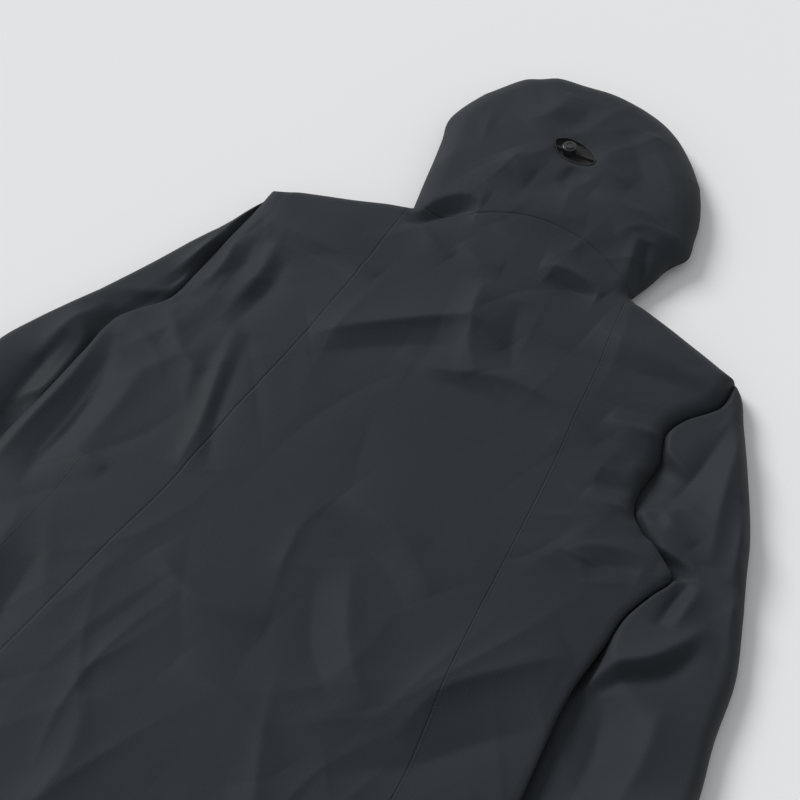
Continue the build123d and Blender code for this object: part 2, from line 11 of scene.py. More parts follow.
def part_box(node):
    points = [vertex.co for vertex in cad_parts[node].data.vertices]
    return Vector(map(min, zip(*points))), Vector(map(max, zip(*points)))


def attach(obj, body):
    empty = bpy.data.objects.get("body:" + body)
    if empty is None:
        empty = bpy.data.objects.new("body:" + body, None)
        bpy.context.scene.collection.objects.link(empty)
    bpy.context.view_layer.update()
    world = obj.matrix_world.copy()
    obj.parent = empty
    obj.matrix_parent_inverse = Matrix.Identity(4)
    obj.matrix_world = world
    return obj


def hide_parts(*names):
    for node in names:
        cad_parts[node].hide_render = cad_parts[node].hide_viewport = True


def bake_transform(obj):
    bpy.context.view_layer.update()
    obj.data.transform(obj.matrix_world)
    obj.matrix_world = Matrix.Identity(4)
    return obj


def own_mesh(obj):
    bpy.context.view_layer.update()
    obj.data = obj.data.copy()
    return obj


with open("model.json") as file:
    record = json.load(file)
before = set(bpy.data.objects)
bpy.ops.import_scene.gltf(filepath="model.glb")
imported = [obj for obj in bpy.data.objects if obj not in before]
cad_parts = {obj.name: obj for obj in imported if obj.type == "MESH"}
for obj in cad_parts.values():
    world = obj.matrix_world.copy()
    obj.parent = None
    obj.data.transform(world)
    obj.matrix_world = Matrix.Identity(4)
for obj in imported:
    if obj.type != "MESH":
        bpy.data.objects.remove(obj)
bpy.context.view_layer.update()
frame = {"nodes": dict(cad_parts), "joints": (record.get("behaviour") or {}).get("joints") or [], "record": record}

MM = 0.001
SHEET = 0.7  # mm, thickness of the laminate with its face fabric

# ---------------------------------------------------------------- plan outlines, in millimetres
HEM_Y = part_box("back_panel")[0].y / MM
CUFF_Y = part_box("cuff_left")[0].y / MM
CUFF_TOP_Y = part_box("cuff_left")[1].y / MM
HOOD_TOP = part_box("hood_back")[1].y / MM
FOLD_Y = next(j for j in frame["joints"] if j["name"] == "hood_fold")["pos_m"][1] / MM
FLOOR_Z = 0.95  # middle of the cloth that lies on the floor
ARM_EDGE_Z, CUFF_Z = 6.5, 23.4  # the sleeve's side edges, and the top of its stiff cuff
EDGE_Z, EDGE_RISE = 12, 9  # where the back meets the front, and how much higher that is over a sleeve

LEFT_EDGE = [(-288, HEM_Y), (-289, -440), (-290, -360), (-295, -267), (-297, -167), (-293, -122), (-290, -57),
             (-287, -7), (-272, 15), (-256, 38), (-252, 78), (-249, 145), (-247, 204)]
RIGHT_EDGE = [(288, HEM_Y), (281, -410), (268, -317), (261, -247), (255, -162), (260, -112), (262, -77),
              (272, -47), (281, -23), (265, -7), (244, 8), (224, 28), (219, 48), (221, 88), (214, 117),
              (221, 136), (244, 167), (244, 203)]
LEFT_SHOULDER = [(-247, 204), (-218, 218), (-169, 235), (-139, 246), (-116, 252)]
RIGHT_SHOULDER = [(117, 250), (149, 238), (199, 220), (244, 203)]
NECK = [(-116, 252), (-92, 250), (-50, 265), (-12, 278), (33, 281), (75, 273), (104, 258), (117, 250)]
LEFT_SEAM = [(-186, HEM_Y), (-157, -308), (-145, -218), (-135, -148), (-129, -48), (-121, 32), (-115, 137),
             (-116, 252)]
RIGHT_SEAM = [(186, HEM_Y), (176, -308), (166, -218), (158, -148), (151, -48), (144, 32), (132, 137),
              (117, 250)]
HOOD_LEFT = [(-116, 252), (-122, 280), (-130, 320), (-138, 355), (-144, 377), (-140, 400), (-130, 427)]
HOOD_OVER = [(-130, 427), (-103, 467), (-88, 476), (-72, 486), (-40, 489), (-10, HOOD_TOP - 1.5), (20, 487),
             (51, 477), (73, 463), (96, 441), (118, 413)]
HOOD_RIGHT = [(117, 250), (127, 280), (133, 303), (144, 325), (140, 350), (136, 370), (128, 392), (118, 413)]
ARM_LEFT_OUT = [(-372, CUFF_Y), (-377, CUFF_TOP_Y), (-383, -270), (-385, -200), (-380, -130), (-371, -76),
                (-357, -43), (-330, 8), (-308, 54), (-281, 114), (-263, 156), (-253, 186), (-247.5, 203.5)]
ARM_LEFT_IN = [(-264, CUFF_Y), (-260, CUFF_TOP_Y), (-256, -200), (-255, -100), (-256, 0), (-250, 38),
               (-247, 78), (-245, 145), (-245, 203)]
ARM_RIGHT_OUT = [(372, CUFF_Y), (379, CUFF_TOP_Y), (387, -270), (382, -195), (372, -140), (365, -80),
                 (350, -30), (334, 17), (321, 56), (293, 117), (269, 165), (257, 190), (245.5, 203)]
ARM_RIGHT_IN = [(264, CUFF_Y), (260, CUFF_TOP_Y), (256, -247), (249, -162), (255, -77), (262, -37), (256, -7),
                (237, 8), (218, 29), (213, 48), (215, 88), (208, 117), (215, 137), (238, 168), (242, 202)]
# hollows between sleeve and torso: how far up, half the length, and how wide; elsewhere the cloth runs on
ARM_HOLLOWS = {-1: [(2, 34, 44), (-150, 34, 30)], 1: [(60, 27, 52), (-12, 9, 34), (-225, 88, 100)]}
# the creases are set out on the floor plane; the cloth that carries them is higher, and this far over
BODY_SHIFT, HOOD_SHIFT, ARM_SHIFT = (13, -23), (16.6, -30), (9, -17)


def smooth(points, count, power=1.0):
    """count points on a smooth curve through the given ones, evenly spaced along it."""
    p = np.array(points, float)
    k = np.r_[0, np.cumsum(np.linalg.norm(np.diff(p, axis=0), axis=1) ** 0.5)]
    slope = np.gradient(p, k, axis=0)
    t = np.linspace(0, k[-1], 60 * len(p))
    i = np.clip(np.searchsorted(k, t, side="right") - 1, 0, len(k) - 2)
    h = (k[i + 1] - k[i])[:, None]
    s = ((t - k[i]) / (k[i + 1] - k[i]))[:, None]
    c = ((1 + 2 * s) * (1 - s) ** 2 * p[i] + s * (1 - s) ** 2 * h * slope[i]
         + s * s * (3 - 2 * s) * p[i + 1] + s * s * (s - 1) * h * slope[i + 1])
    a = np.r_[0, np.cumsum(np.linalg.norm(np.diff(c, axis=0), axis=1))]
    at = np.linspace(0, 1, count) ** power * a[-1]
    return np.stack([np.interp(at, a, c[:, 0]), np.interp(at, a, c[:, 1])], 1)


def coons(left, right, bottom, top, columns, rows, ease=0.0, samples=2000):
    """A grid of plan points between four boundary curves; ease packs its columns towards both sides."""
    u = np.linspace(0, 1, columns)
    u = (u - ease * np.sin(2 * np.pi * u) / (2 * np.pi))[None, :, None]
    v = np.linspace(0, 1, rows)[:, None, None]

    def at(points, w):
        c = smooth(points, samples)
        f = w.ravel() * (samples - 1)
        return np.stack([np.interp(f, np.arange(samples), c[:, k]) for k in (0, 1)], 1)

    b, t, l, r = at(bottom, u)[None], at(top, u)[None], at(left, v)[:, None], at(right, v)[:, None]
    corners = ((1 - u) * (1 - v) * b[:, :1] + u * (1 - v) * b[:, -1:]
               + (1 - u) * v * t[:, :1] + u * v * t[:, -1:])
    return (1 - v) * b + v * t + (1 - u) * l + u * r - corners


def along(x, y, path):
    """Signed distance from a path (left of it is positive) and how far along it, 0 to 1."""
    p = np.array(path, float)
    step = np.diff(p, axis=0)
    length = np.linalg.norm(step, axis=1)
    best, signed, share, gone = np.full(x.shape, 1e9), np.zeros(x.shape), np.zeros(x.shape), 0.0
    for a, d, n in zip(p[:-1], step, length):
        t = np.clip(((x - a[0]) * d[0] + (y - a[1]) * d[1]) / n**2, 0, 1)
        ex, ey = x - a[0] - t * d[0], y - a[1] - t * d[1]
        dist = np.hypot(ex, ey)
        near = dist < best
        side = np.sign(d[0] * ey - d[1] * ex)
        best = np.where(near, dist, best)
        signed = np.where(near, dist * np.where(side == 0, 1, side), signed)
        share = np.where(near, (gone + t * n) / length.sum(), share)
        gone += n
    return signed, share


def fold(x, y, height, left, right, path, crest=1.3):
    """A crease that follows a path: its flanks are left and right wide, and it dies away at both ends."""
    s, t = along(x, y, smooth(path, 14))
    width = np.where(s > 0, left, right)
    flank = np.exp(-((np.sqrt(s * s + crest * crest) - crest) / width) ** 1.12)
    return height * flank * np.sin(np.pi * np.clip(t, 0, 1)) ** 0.7


def wrinkles(x, y, seed, count, box, heading, spread, length, width, height):
    """Small random creases over a box; heading is their usual direction in degrees."""
    g = np.random.default_rng(seed)
    z = np.zeros(x.shape)
    for _ in range(count):
        cx, cy = g.uniform(box[0], box[1]), g.uniform(box[2], box[3])
        turn = math.radians(heading + g.normal(0, spread))
        ln, w, h = g.uniform(*length), g.uniform(*width), g.uniform(*height) * g.choice([-0.6, 1.0])
        bend = g.normal(0, 0.0022)
        a = (x - cx) * math.cos(turn) + (y - cy) * math.sin(turn)
        b = -(x - cx) * math.sin(turn) + (y - cy) * math.cos(turn) - bend * a * a
        skew = np.where(b > 0, w, w * g.uniform(0.5, 1.6))
        z += h * np.exp(-((a / ln) ** 2)) * np.exp(-((np.abs(b) / skew) ** 1.22))
    return z


def ramp(t):
    """A smooth step from 0 to 1."""
    t = np.clip(t, 0, 1)
    return t * t * (3 - 2 * t)


RIM = np.vstack([smooth(LEFT_EDGE, 160), smooth(LEFT_SHOULDER, 30), smooth(HOOD_LEFT, 40),
                 smooth(HOOD_OVER, 60), smooth(HOOD_RIGHT, 40)[::-1], smooth(RIGHT_SHOULDER, 30),
                 smooth(RIGHT_EDGE, 160)[::-1]])
EDGE_L, EDGE_R = smooth(LEFT_EDGE, 400), smooth(RIGHT_EDGE, 400)


def rim_distance(x, y, rim):
    """How far each plan point is from a closed outline."""
    flat = np.stack([x.ravel(), y.ravel()], 1)
    best = np.full(len(flat), 1e9)
    for a, b in zip(rim[:-1], rim[1:]):
        d = b - a
        n = float(d @ d)
        if n < 1e-9:
            continue
        t = np.clip(((flat - a) @ d) / n, 0, 1)
        best = np.minimum(best, np.hypot(flat[:, 0] - a[0] - t * d[0], flat[:, 1] - a[1] - t * d[1]))
    return best.reshape(x.shape)


def edge_x(y, side):
    """How far out the torso's own edge is at a given y."""
    e = EDGE_L if side < 0 else EDGE_R
    o = np.argsort(e[:, 1])
    return np.abs(np.interp(y, e[o, 1], e[o, 0]))


# ---------------------------------------------------------------- heights, in millimetres
EYE_CENTRE = ((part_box("adjuster_recess")[0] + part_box("adjuster_recess")[1]) / 2 / MM)[:2]
EYE_HALF, EYE_HALF_HIGH, EYE_TILT = 24.0, 13.5, -16.0  # mm, mm, degrees

BODY_FOLDS = [
    # height, left flank, right flank, path
    (9, 26, 11, [(-128, 78), (-62, 128), (-5, 162), (35, 150)]),
    (-4, 12, 22, [(-118, 56), (-55, 104), (0, 132)]),
    (6, 18, 9, [(-48, 100), (0, 98), (52, 114), (102, 113), (155, 92)]),
    (-3, 8, 22, [(-30, 82), (40, 90), (120, 82)]),
    (8, 22, 12, [(-18, 214), (-10, 175), (8, 130), (30, 108)]),
    (-5, 16, 16, [(22, 205), (35, 165), (55, 122)]),
    (8, 20, 26, [(95, 215), (160, 205), (238, 196)]),
    (-7, 26, 26, [(48, 172), (110, 178), (190, 188), (236, 186)]),
    (5, 12, 12, [(-247, 191), (-200, 183), (-150, 178), (-108, 172)]),
    (-3, 10, 14, [(-235, 176), (-190, 166), (-130, 158)]),
    (7, 10, 24, [(-152, -110), (-158, -60), (-176, 0), (-192, 58)]),
    (-6, 14, 12, [(-176, 52), (-163, -5), (-147, -58), (-128, -98)]),
    (6, 9, 9, [(-250, 150), (-244, 120), (-246, 85)]),
    (-5, 9, 9, [(-235, 160), (-230, 128), (-233, 98)]),
    (5, 10, 10, [(-212, 165), (-208, 120), (-214, 75)]),
    (-5, 10, 12, [(-194, 150), (-192, 105), (-200, 52)]),
    (4, 14, 10, [(-262, 52), (-235, 20), (-205, -4), (-188, -8)]),
    (7, 11, 13, [(-300, 8), (-292, -60), (-296, -130), (-298, -180)]),
    (-8, 12, 14, [(-286, -5), (-272, -50), (-264, -105), (-268, -150), (-262, -188)]),
    (4, 12, 16, [(-240, -20), (-236, -80), (-240, -130)]),
    (3, 6, 10, [(-252, -128), (-228, -136), (-205, -140)]),
    (5, 22, 14, [(-10, -62), (55, -82), (104, -118)]),
    (-4, 16, 22, [(-20, -88), (50, -108), (92, -140)]),
    (5, 20, 14, [(28, -118), (66, -190), (108, -238)]),
    (-4, 18, 20, [(8, -140), (40, -205), (85, -250)]),
    (7, 12, 26, [(228, -110), (190, -150), (152, -195), (138, -246)]),
    (-8, 30, 30, [(238, -180), (200, -215), (160, -262), (110, -300)]),
    (4, 14, 24, [(-45, -270), (20, -285), (80, -312)]),
    (4, 16, 16, [(-120, -190), (-60, -215), (0, -205)]),
    (5, 14, 20, [(-246, -200), (-232, -300), (-236, -390)]),
    (-5, 16, 16, [(-205, -230), (-200, -320), (-212, -420)]),
    (5, 18, 22, [(60, -340), (90, -400), (80, -470)]),
    (5, 20, 16, [(-90, -330), (-70, -400), (-84, -485)]),
    (6, 16, 14, [(210, -330), (228, -400), (224, -480)]),
    (6, 9, 10, [(209, 140), (196, 128), (172, 122), (150, 126)]),
    (-4, 9, 12, [(204, 70), (188, 60), (170, 58)]),
    (5, 9, 9, [(212, 44), (190, 38), (168, 42)]),
    (5, 10, 10, [(252, 6), (225, 2), (196, -10), (180, -26)]),
    (-4, 9, 9, [(244, -14), (222, -16), (200, -30)]),
    (4, 8, 12, [(-116, 252), (-88, 236), (-60, 224)]),
    (3, 8, 12, [(-60, 246), (-30, 232), (-10, 236)]),
    (7, 9, 6, [(18, 259), (48, 262), (86, 252)]),
    (-6, 6, 9, [(30, 250), (56, 246), (80, 248)]),
]
HOOD_FOLDS = [
    (-2.8, 8, 11, [(-16, 386), (8, 377)]),  # the dent below the adjuster
    (-9, 10, 9, [(-119, 252), (-106, 275), (-86, 292), (-70, 296)]),
    (5, 14, 8, [(-124, 268), (-112, 292), (-90, 308), (-66, 308)]),
    (-9, 7, 8, [(92, 336), (98, 312), (108, 276), (110, 262)]),
    (5, 8, 12, [(80, 340), (88, 306), (98, 272)]),
    (4, 18, 24, [(-96, 340), (-60, 322), (-10, 318), (30, 330)]),
    (-5, 22, 20, [(-72, 352), (-40, 345), (0, 352)]),
    (4, 16, 16, [(-78, 380), (-60, 366), (-40, 362)]),
    (3, 12, 12, [(2, 404), (28, 396), (48, 392)]),
    (-3, 8, 10, [(-14, 388), (-12, 372), (-16, 362)]),
    (5, 16, 20, [(30, 470), (66, 436), (90, 400), (100, 360)]),
    (-3, 14, 14, [(8, 462), (38, 430), (62, 392)]),
    (4, 18, 16, [(-60, 486), (-62, 450), (-80, 420)]),
    (-3, 16, 16, [(-36, 484), (-34, 452), (-46, 430)]),
    (4, 14, 14, [(20, 366), (60, 362), (96, 372)]),
    (4, 12, 12, [(60, 330), (80, 350), (120, 352)]),
]
ARM_LEFT_FOLDS = [
    (6, 9, 12, [(-262, 150), (-268, 118), (-276, 84)]),
    (-4, 7, 9, [(-262, 118), (-268, 88), (-276, 62)]),
    (8, 16, 14, [(-310, 25), (-326, -20), (-334, -70)]),
    (-7, 14, 12, [(-318, -30), (-326, -75), (-322, -140)]),
    (7, 12, 16, [(-372, -90), (-352, -120), (-330, -160)]),
    (-5, 12, 12, [(-368, -150), (-345, -172), (-320, -190)]),
    (6, 14, 12, [(-380, -190), (-350, -215), (-310, -220)]),
    (5, 12, 14, [(-378, -270), (-340, -262), (-300, -285)]),
]
ARM_RIGHT_FOLDS = [
    (9, 12, 16, [(264, 172), (272, 120), (284, 62), (296, 20)]),
    (-6, 12, 9, [(252, 168), (248, 110), (240, 60), (238, 36)]),
    (6, 12, 10, [(300, 90), (312, 40), (318, 10)]),
    (5, 9, 9, [(232, 60), (250, 42), (276, 30)]),
    (-7, 6, 6, [(288, -2), (283, -28), (281, -58)]),
    (7, 8, 8, [(298, -2), (296, -30), (294, -54)]),
    (11, 14, 8, [(246, -142), (262, -112), (290, -90), (306, -66), (319, -36)]),
    (-8, 7, 11, [(258, -136), (280, -112), (304, -92), (322, -58)]),
    (-8, 18, 16, [(272, -130), (284, -180), (286, -240)]),
    (8, 14, 16, [(316, -120), (322, -180), (318, -235)]),
    (6, 12, 16, [(378, -180), (350, -210), (322, -226)]),
    (-5, 12, 12, [(372, -230), (345, -250), (310, -262)]),
    (6, 14, 12, [(380, -300), (340, -290), (290, -305)]),
]


# seed, count, box, heading, spread, length, width, height
BODY_WRINKLES = [
    (3, 60, (-290, 280, -490, 240), 62, 38, (30, 80), (7, 17), (0.6, 2.2)),
    (11, 46, (-130, 130, 255, 485), 30, 60, (18, 46), (6, 13), (0.5, 1.7)),
    (5, 34, (170, 262, -60, 150), 10, 26, (14, 36), (4, 8), (0.7, 2.2)),
    (8, 30, (-290, -170, -60, 190), 95, 26, (22, 50), (5, 10), (0.6, 1.9)),
    (21, 40, (-290, 280, -493, -250), 90, 24, (30, 80), (8, 18), (0.8, 2.6)),
]


def beside_arm(x, y):
    """1 on the edges that lie over a sleeve, 0 elsewhere."""
    return ramp((np.abs(x) - 240) / 14) * ramp((190 - y) / 60)


def rounded(d, width):
    """0 at an edge and 1 from width inwards, along a quarter circle."""
    return np.sqrt(np.clip(1 - (1 - np.clip(d / width, 0, 1)) ** 2, 0, 1))


def body_height(x, y):
    """The top of the torso, collar and hood."""
    d = rim_distance(x, y, RIM)
    hood = ramp((y - 250) / 60)
    h = 25 + 8 * (1 - np.exp(-d / 70)) + hood * (4 + 5 * (1 - np.exp(-d / 45)))
    h += 3.0 * np.exp(-(((y - 195) / 30) ** 2)) * ramp((np.abs(x) - 110) / 60)
    for folds, (dx, dy) in ((BODY_FOLDS, BODY_SHIFT), (HOOD_FOLDS, HOOD_SHIFT)):
        for height, left, right, path in folds:
            h += fold(x - dx, y - dy, height, left, right, path)
    for settings in BODY_WRINKLES:
        h += wrinkles(x, y, *settings)
    # the rear adjuster's flap sinks a little towards its opening
    h -= 2.6 * np.exp(-(((x - EYE_CENTRE[0]) / 26) ** 2 + ((y - EYE_CENTRE[1]) / 19) ** 2) ** 2)
    mid = EDGE_Z + EDGE_RISE * beside_arm(x, y)
    w = 16 + 8 * ramp((y - 240) / 40) - 8 * beside_arm(x, y)
    return mid + (np.maximum(h, mid + 3) - mid) * rounded(d, w)


def under_height(x, y):
    """The cloth under the torso and hood: on the floor, or on a sleeve where it lies over one."""
    d = rim_distance(x, y, RIM)
    over_arm = ramp((np.abs(x) - 246) / 9) * ramp((160 - y) / 40)
    low = FLOOR_Z + 13.2 * over_arm
    mid = EDGE_Z + EDGE_RISE * beside_arm(x, y)
    return low + (mid - low) * (1 - rounded(d, 13 - 5 * over_arm))


def arm_rim(side):
    out, inn = (ARM_LEFT_OUT, ARM_LEFT_IN) if side < 0 else (ARM_RIGHT_OUT, ARM_RIGHT_IN)
    return np.vstack([smooth(out, 160), smooth(inn, 160)[::-1]])


ARM_RIMS = {-1: arm_rim(-1), 1: arm_rim(1)}


ARM_FOLDS = {-1: ARM_LEFT_FOLDS, 1: ARM_RIGHT_FOLDS}


def arm_height(x, y, side):
    """The top of a sleeve and its cuff; it starts lower beside the torso, which lies over it."""
    d = rim_distance(x, y, ARM_RIMS[side])
    free = np.abs(x) - edge_x(y, side)
    near, low, rise = (13.0, 16.0, 8.2) if side < 0 else (10.0, 10.2, 14.0)
    near, start = np.full_like(x, near), np.full_like(x, 5.5)
    for middle, half, wide in ARM_HOLLOWS[side]:
        share = np.exp(-(((y - middle) / half) ** 4))
        near += (wide - near) * share
        start -= 4.0 * share
    h = low + rise * ramp((free + start) / near)
    for f in ARM_FOLDS[side]:
        h += fold(x - ARM_SHIFT[0], y - ARM_SHIFT[1], *f) * ramp((free + 4) / 14)
    box = (*sorted((side * 250, side * 385)), -340, 180)
    small = wrinkles(x, y, 30 + side, 46, box, 90 + side * 20, 40, (14, 44), (5, 12), (0.6, 2.2))
    h += small * ramp((free + 2) / 14)
    cuff = ramp((CUFF_TOP_Y + 30 - y) / 40)
    h = np.clip(h * (1 - cuff) + CUFF_Z * cuff, 6, 34)
    return ARM_EDGE_Z + (h - ARM_EDGE_Z) * rounded(d, 13)


def arm_under(x, y, side):
    """The floor side of a sleeve and its cuff."""
    d = rim_distance(x, y, ARM_RIMS[side])
    return FLOOR_Z + 5.5 * (1 - rounded(d, 8))


# ---------------------------------------------------------------- materials
def shader(name):
    m = bpy.data.materials.new(name)
    m.use_nodes = True
    nt = m.node_tree
    nt.nodes.clear()
    out = nt.nodes.new("ShaderNodeOutputMaterial")
    b = nt.nodes.new("ShaderNodeBsdfPrincipled")
    nt.links.new(b.outputs[0], out.inputs[0])
    return m, nt, b


def node(nt, kind, **inputs):
    n = nt.nodes.new(kind)
    for key, value in inputs.items():
        if key.startswith("_"):
            setattr(n, key[1:], value)
        else:
            n.inputs[key.replace("__", " ")].default_value = value
    return n


def cloth_material(name, dark, light, rough=(0.62, 0.78), weave=0.45, pitch=0.55, sheen=0.18, mottling=9.0):
    """Woven cloth: threads both ways, slow colour variation, fine fuzz and creased wear."""
    m, nt, b = shader(name)
    link = nt.links.new
    co = node(nt, "ShaderNodeTexCoord").outputs["Object"]
    slow = node(nt, "ShaderNodeTexNoise", Scale=mottling, Detail=5.0, Roughness=0.6)
    fine = node(nt, "ShaderNodeTexNoise", Scale=900.0, Detail=2.0, Roughness=0.6)
    for n in (slow, fine):
        link(co, n.inputs["Vector"])
    mix = node(nt, "ShaderNodeMix", _data_type="RGBA")
    mix.inputs[6].default_value, mix.inputs[7].default_value = (*dark, 1), (*light, 1)
    span = node(nt, "ShaderNodeMapRange", From__Min=0.34, From__Max=0.66)
    blend_in = node(nt, "ShaderNodeMath", _operation="MULTIPLY_ADD")
    blend_in.inputs[1].default_value, blend_in.inputs[2].default_value = 0.3, 0.0
    link(fine.outputs["Fac"], blend_in.inputs[0])
    both = node(nt, "ShaderNodeMath", _operation="ADD")
    link(slow.outputs["Fac"], span.inputs["Value"])
    link(span.outputs[0], both.inputs[0])
    link(blend_in.outputs[0], both.inputs[1])
    link(both.outputs[0], mix.inputs["Factor"])
    link(mix.outputs[2], b.inputs["Base Color"])
    r = node(nt, "ShaderNodeMapRange", From__Min=0.3, From__Max=0.7, To__Min=rough[0], To__Max=rough[1])
    link(slow.outputs["Fac"], r.inputs["Value"])
    link(r.outputs[0], b.inputs["Roughness"])
    threads = []
    for axis in ("X", "Y"):
        w = node(nt, "ShaderNodeTexWave", _wave_type="BANDS", _bands_direction=axis,
                 Scale=1.0 / (pitch * MM) / 20, Distortion=0.6, Detail=1.0)
        w.inputs["Detail Scale"].default_value = 2.0
        link(co, w.inputs["Vector"])
        threads.append(w)
    weaves = node(nt, "ShaderNodeMath", _operation="MULTIPLY")
    link(threads[0].outputs["Fac"], weaves.inputs[0])
    link(threads[1].outputs["Fac"], weaves.inputs[1])
    height = node(nt, "ShaderNodeMath", _operation="ADD")
    link(weaves.outputs[0], height.inputs[0])
    link(fine.outputs["Fac"], height.inputs[1])
    bump = node(nt, "ShaderNodeBump", Strength=weave, Distance=0.00008)
    link(height.outputs[0], bump.inputs["Height"])
    soft = node(nt, "ShaderNodeTexNoise", Scale=38.0, Detail=4.0, Roughness=0.55)
    link(co, soft.inputs["Vector"])
    creased = node(nt, "ShaderNodeBump", Strength=0.35, Distance=0.0012)
    link(soft.outputs["Fac"], creased.inputs["Height"])
    link(bump.outputs[0], creased.inputs["Normal"])
    link(creased.outputs[0], b.inputs["Normal"])
    b.inputs["Sheen Weight"].default_value = sheen
    b.inputs["Sheen Roughness"].default_value = 0.5
    b.inputs["Specular IOR Level"].default_value = 0.16
    return m


def hard_material(name, colour, rough, metal=0.0, coat=0.0, grain=420.0, bump=0.25):
    """Moulded or plated trim with fine surface grain and rubbed patches."""
    m, nt, b = shader(name)
    link = nt.links.new
    co = node(nt, "ShaderNodeTexCoord").outputs["Object"]
    slow = node(nt, "ShaderNodeTexNoise", Scale=160.0, Detail=4.0)
    fine = node(nt, "ShaderNodeTexNoise", Scale=grain * 5, Detail=2.0)
    for n in (slow, fine):
        link(co, n.inputs["Vector"])
    mix = node(nt, "ShaderNodeMix", _data_type="RGBA")
    mix.inputs[6].default_value = (*[c * 0.75 for c in colour], 1)
    mix.inputs[7].default_value = (*[min(1, c * 1.35) for c in colour], 1)
    link(slow.outputs["Fac"], mix.inputs["Factor"])
    link(mix.outputs[2], b.inputs["Base Color"])
    r = node(nt, "ShaderNodeMapRange", To__Min=max(0.05, rough - 0.12), To__Max=rough + 0.12)
    link(slow.outputs["Fac"], r.inputs["Value"])
    link(r.outputs[0], b.inputs["Roughness"])
    n = node(nt, "ShaderNodeBump", Strength=bump, Distance=0.00003)
    link(fine.outputs["Fac"], n.inputs["Height"])
    link(n.outputs[0], b.inputs["Normal"])
    b.inputs["Metallic"].default_value = metal
    b.inputs["Coat Weight"].default_value = coat
    return m


def toothed_material(name, colour, at, turn, pitch=1.9):
    """A zip's tape and coil: bands across it that are deep on the coil and shallow on the tape."""
    m, nt, b = shader(name)
    link = nt.links.new
    co = node(nt, "ShaderNodeTexCoord").outputs["Object"]
    move = node(nt, "ShaderNodeMapping", _vector_type="TEXTURE")
    move.inputs["Location"].default_value = (at[0] * MM, at[1] * MM, 0)
    move.inputs["Rotation"].default_value = (0, 0, math.radians(turn))
    link(co, move.inputs["Vector"])
    w = node(nt, "ShaderNodeTexWave", _wave_type="BANDS", _bands_direction="Y",
             Scale=1.0 / (pitch * MM) / 20 * math.pi)
    link(move.outputs[0], w.inputs["Vector"])
    split = node(nt, "ShaderNodeSeparateXYZ")
    link(move.outputs[0], split.inputs[0])
    away = node(nt, "ShaderNodeMath", _operation="ABSOLUTE")
    link(split.outputs["X"], away.inputs[0])
    coil = node(nt, "ShaderNodeMapRange", From__Min=0.0036, From__Max=0.0044, To__Min=1.0, To__Max=0.12)
    link(away.outputs[0], coil.inputs["Value"])
    deep = node(nt, "ShaderNodeMath", _operation="MULTIPLY")
    link(w.outputs["Fac"], deep.inputs[0])
    link(coil.outputs[0], deep.inputs[1])
    bump = node(nt, "ShaderNodeBump", Strength=0.9, Distance=0.0006)
    link(deep.outputs[0], bump.inputs["Height"])
    link(bump.outputs[0], b.inputs["Normal"])
    # the colour follows the same bands: painted shade in the gaps between teeth and on the tape, painted highlight
    # on the coil's crests
    mix = node(nt, "ShaderNodeMix", _data_type="RGBA")
    mix.inputs[6].default_value = (*[c * 0.55 for c in colour], 1)
    mix.inputs[7].default_value = (*[c * 1.5 for c in colour], 1)
    link(deep.outputs[0], mix.inputs["Factor"])
    link(mix.outputs[2], b.inputs["Base Color"])
    b.inputs["Roughness"].default_value = 0.55
    return m


SHELL = cloth_material("shell cloth", (0.0142, 0.0178, 0.0222), (0.0180, 0.0222, 0.0270), sheen=0.03)
LINING = cloth_material("backer knit", (0.05, 0.055, 0.062), (0.075, 0.08, 0.09), weave=0.8, pitch=0.9,
                        sheen=0.1)
TAPE = cloth_material("seam thread", (0.008, 0.009, 0.011), (0.016, 0.018, 0.02), pitch=0.3)
MESH = cloth_material("pocket knit", (0.012, 0.013, 0.015), (0.03, 0.032, 0.035), weave=0.9, pitch=1.2)
STIFF = cloth_material("brim cloth", (0.02, 0.024, 0.028), (0.03, 0.034, 0.04), rough=(0.5, 0.65))
# near-black, much darker than the shell cloth: painted shade for the inside of the adjuster's opening and its
# binding
SHADED_RECESS_CLOTH = cloth_material("recess cloth", (0.0022, 0.0022, 0.0028), (0.009, 0.009, 0.01), pitch=0.4)
CORD = cloth_material("cord braid", (0.006, 0.006, 0.007), (0.022, 0.022, 0.025), weave=1.0, pitch=0.8)
MOULDED = hard_material("lock moulding", (0.014, 0.0145, 0.016), 0.26, coat=0.25)
RUBBER = hard_material("tab moulding", (0.02, 0.022, 0.025), 0.6)
PLATED = hard_material("black plating", (0.02, 0.02, 0.022), 0.32, metal=0.6)
STEEL = hard_material("spring wire", (0.45, 0.45, 0.46), 0.3, metal=1.0)


# ---------------------------------------------------------------- meshes
def mesh_object(name, verts, faces, material, smooth_shading=True):
    me = bpy.data.meshes.new(name)
    me.from_pydata([tuple(v) for v in verts], [], faces)
    me.update()
    if smooth_shading:
        me.polygons.foreach_set("use_smooth", [True] * len(me.polygons))
    o = bpy.data.objects.new(name, me)
    bpy.context.scene.collection.objects.link(o)
    me.materials.append(material)
    return o


def grid_faces(rows, columns, flip=False, keep=None):
    faces = []
    for j in range(rows - 1):
        for i in range(columns - 1):
            a = j * columns + i
            q = (a, a + 1, a + columns + 1, a + columns)
            if keep is None or keep[j, i]:
                faces.append(q[::-1] if flip else q)
    return faces


def thicken(o, amount, inner=None):
    """Gives a surface the laminate's thickness, to the inside of its faces."""
    s = o.modifiers.new("thickness", "SOLIDIFY")
    s.thickness, s.offset = amount * MM, -1.0
    if inner:
        o.data.materials.append(inner)
        s.material_offset = 1
        s.material_offset_rim = 0
    bpy.context.view_layer.objects.active = o
    with bpy.context.temp_override(object=o, active_object=o, selected_objects=[o]):
        bpy.ops.object.modifier_apply(modifier=s.name)
    return o


SEAM_ALLOWANCE = 10.0
CUT = {}


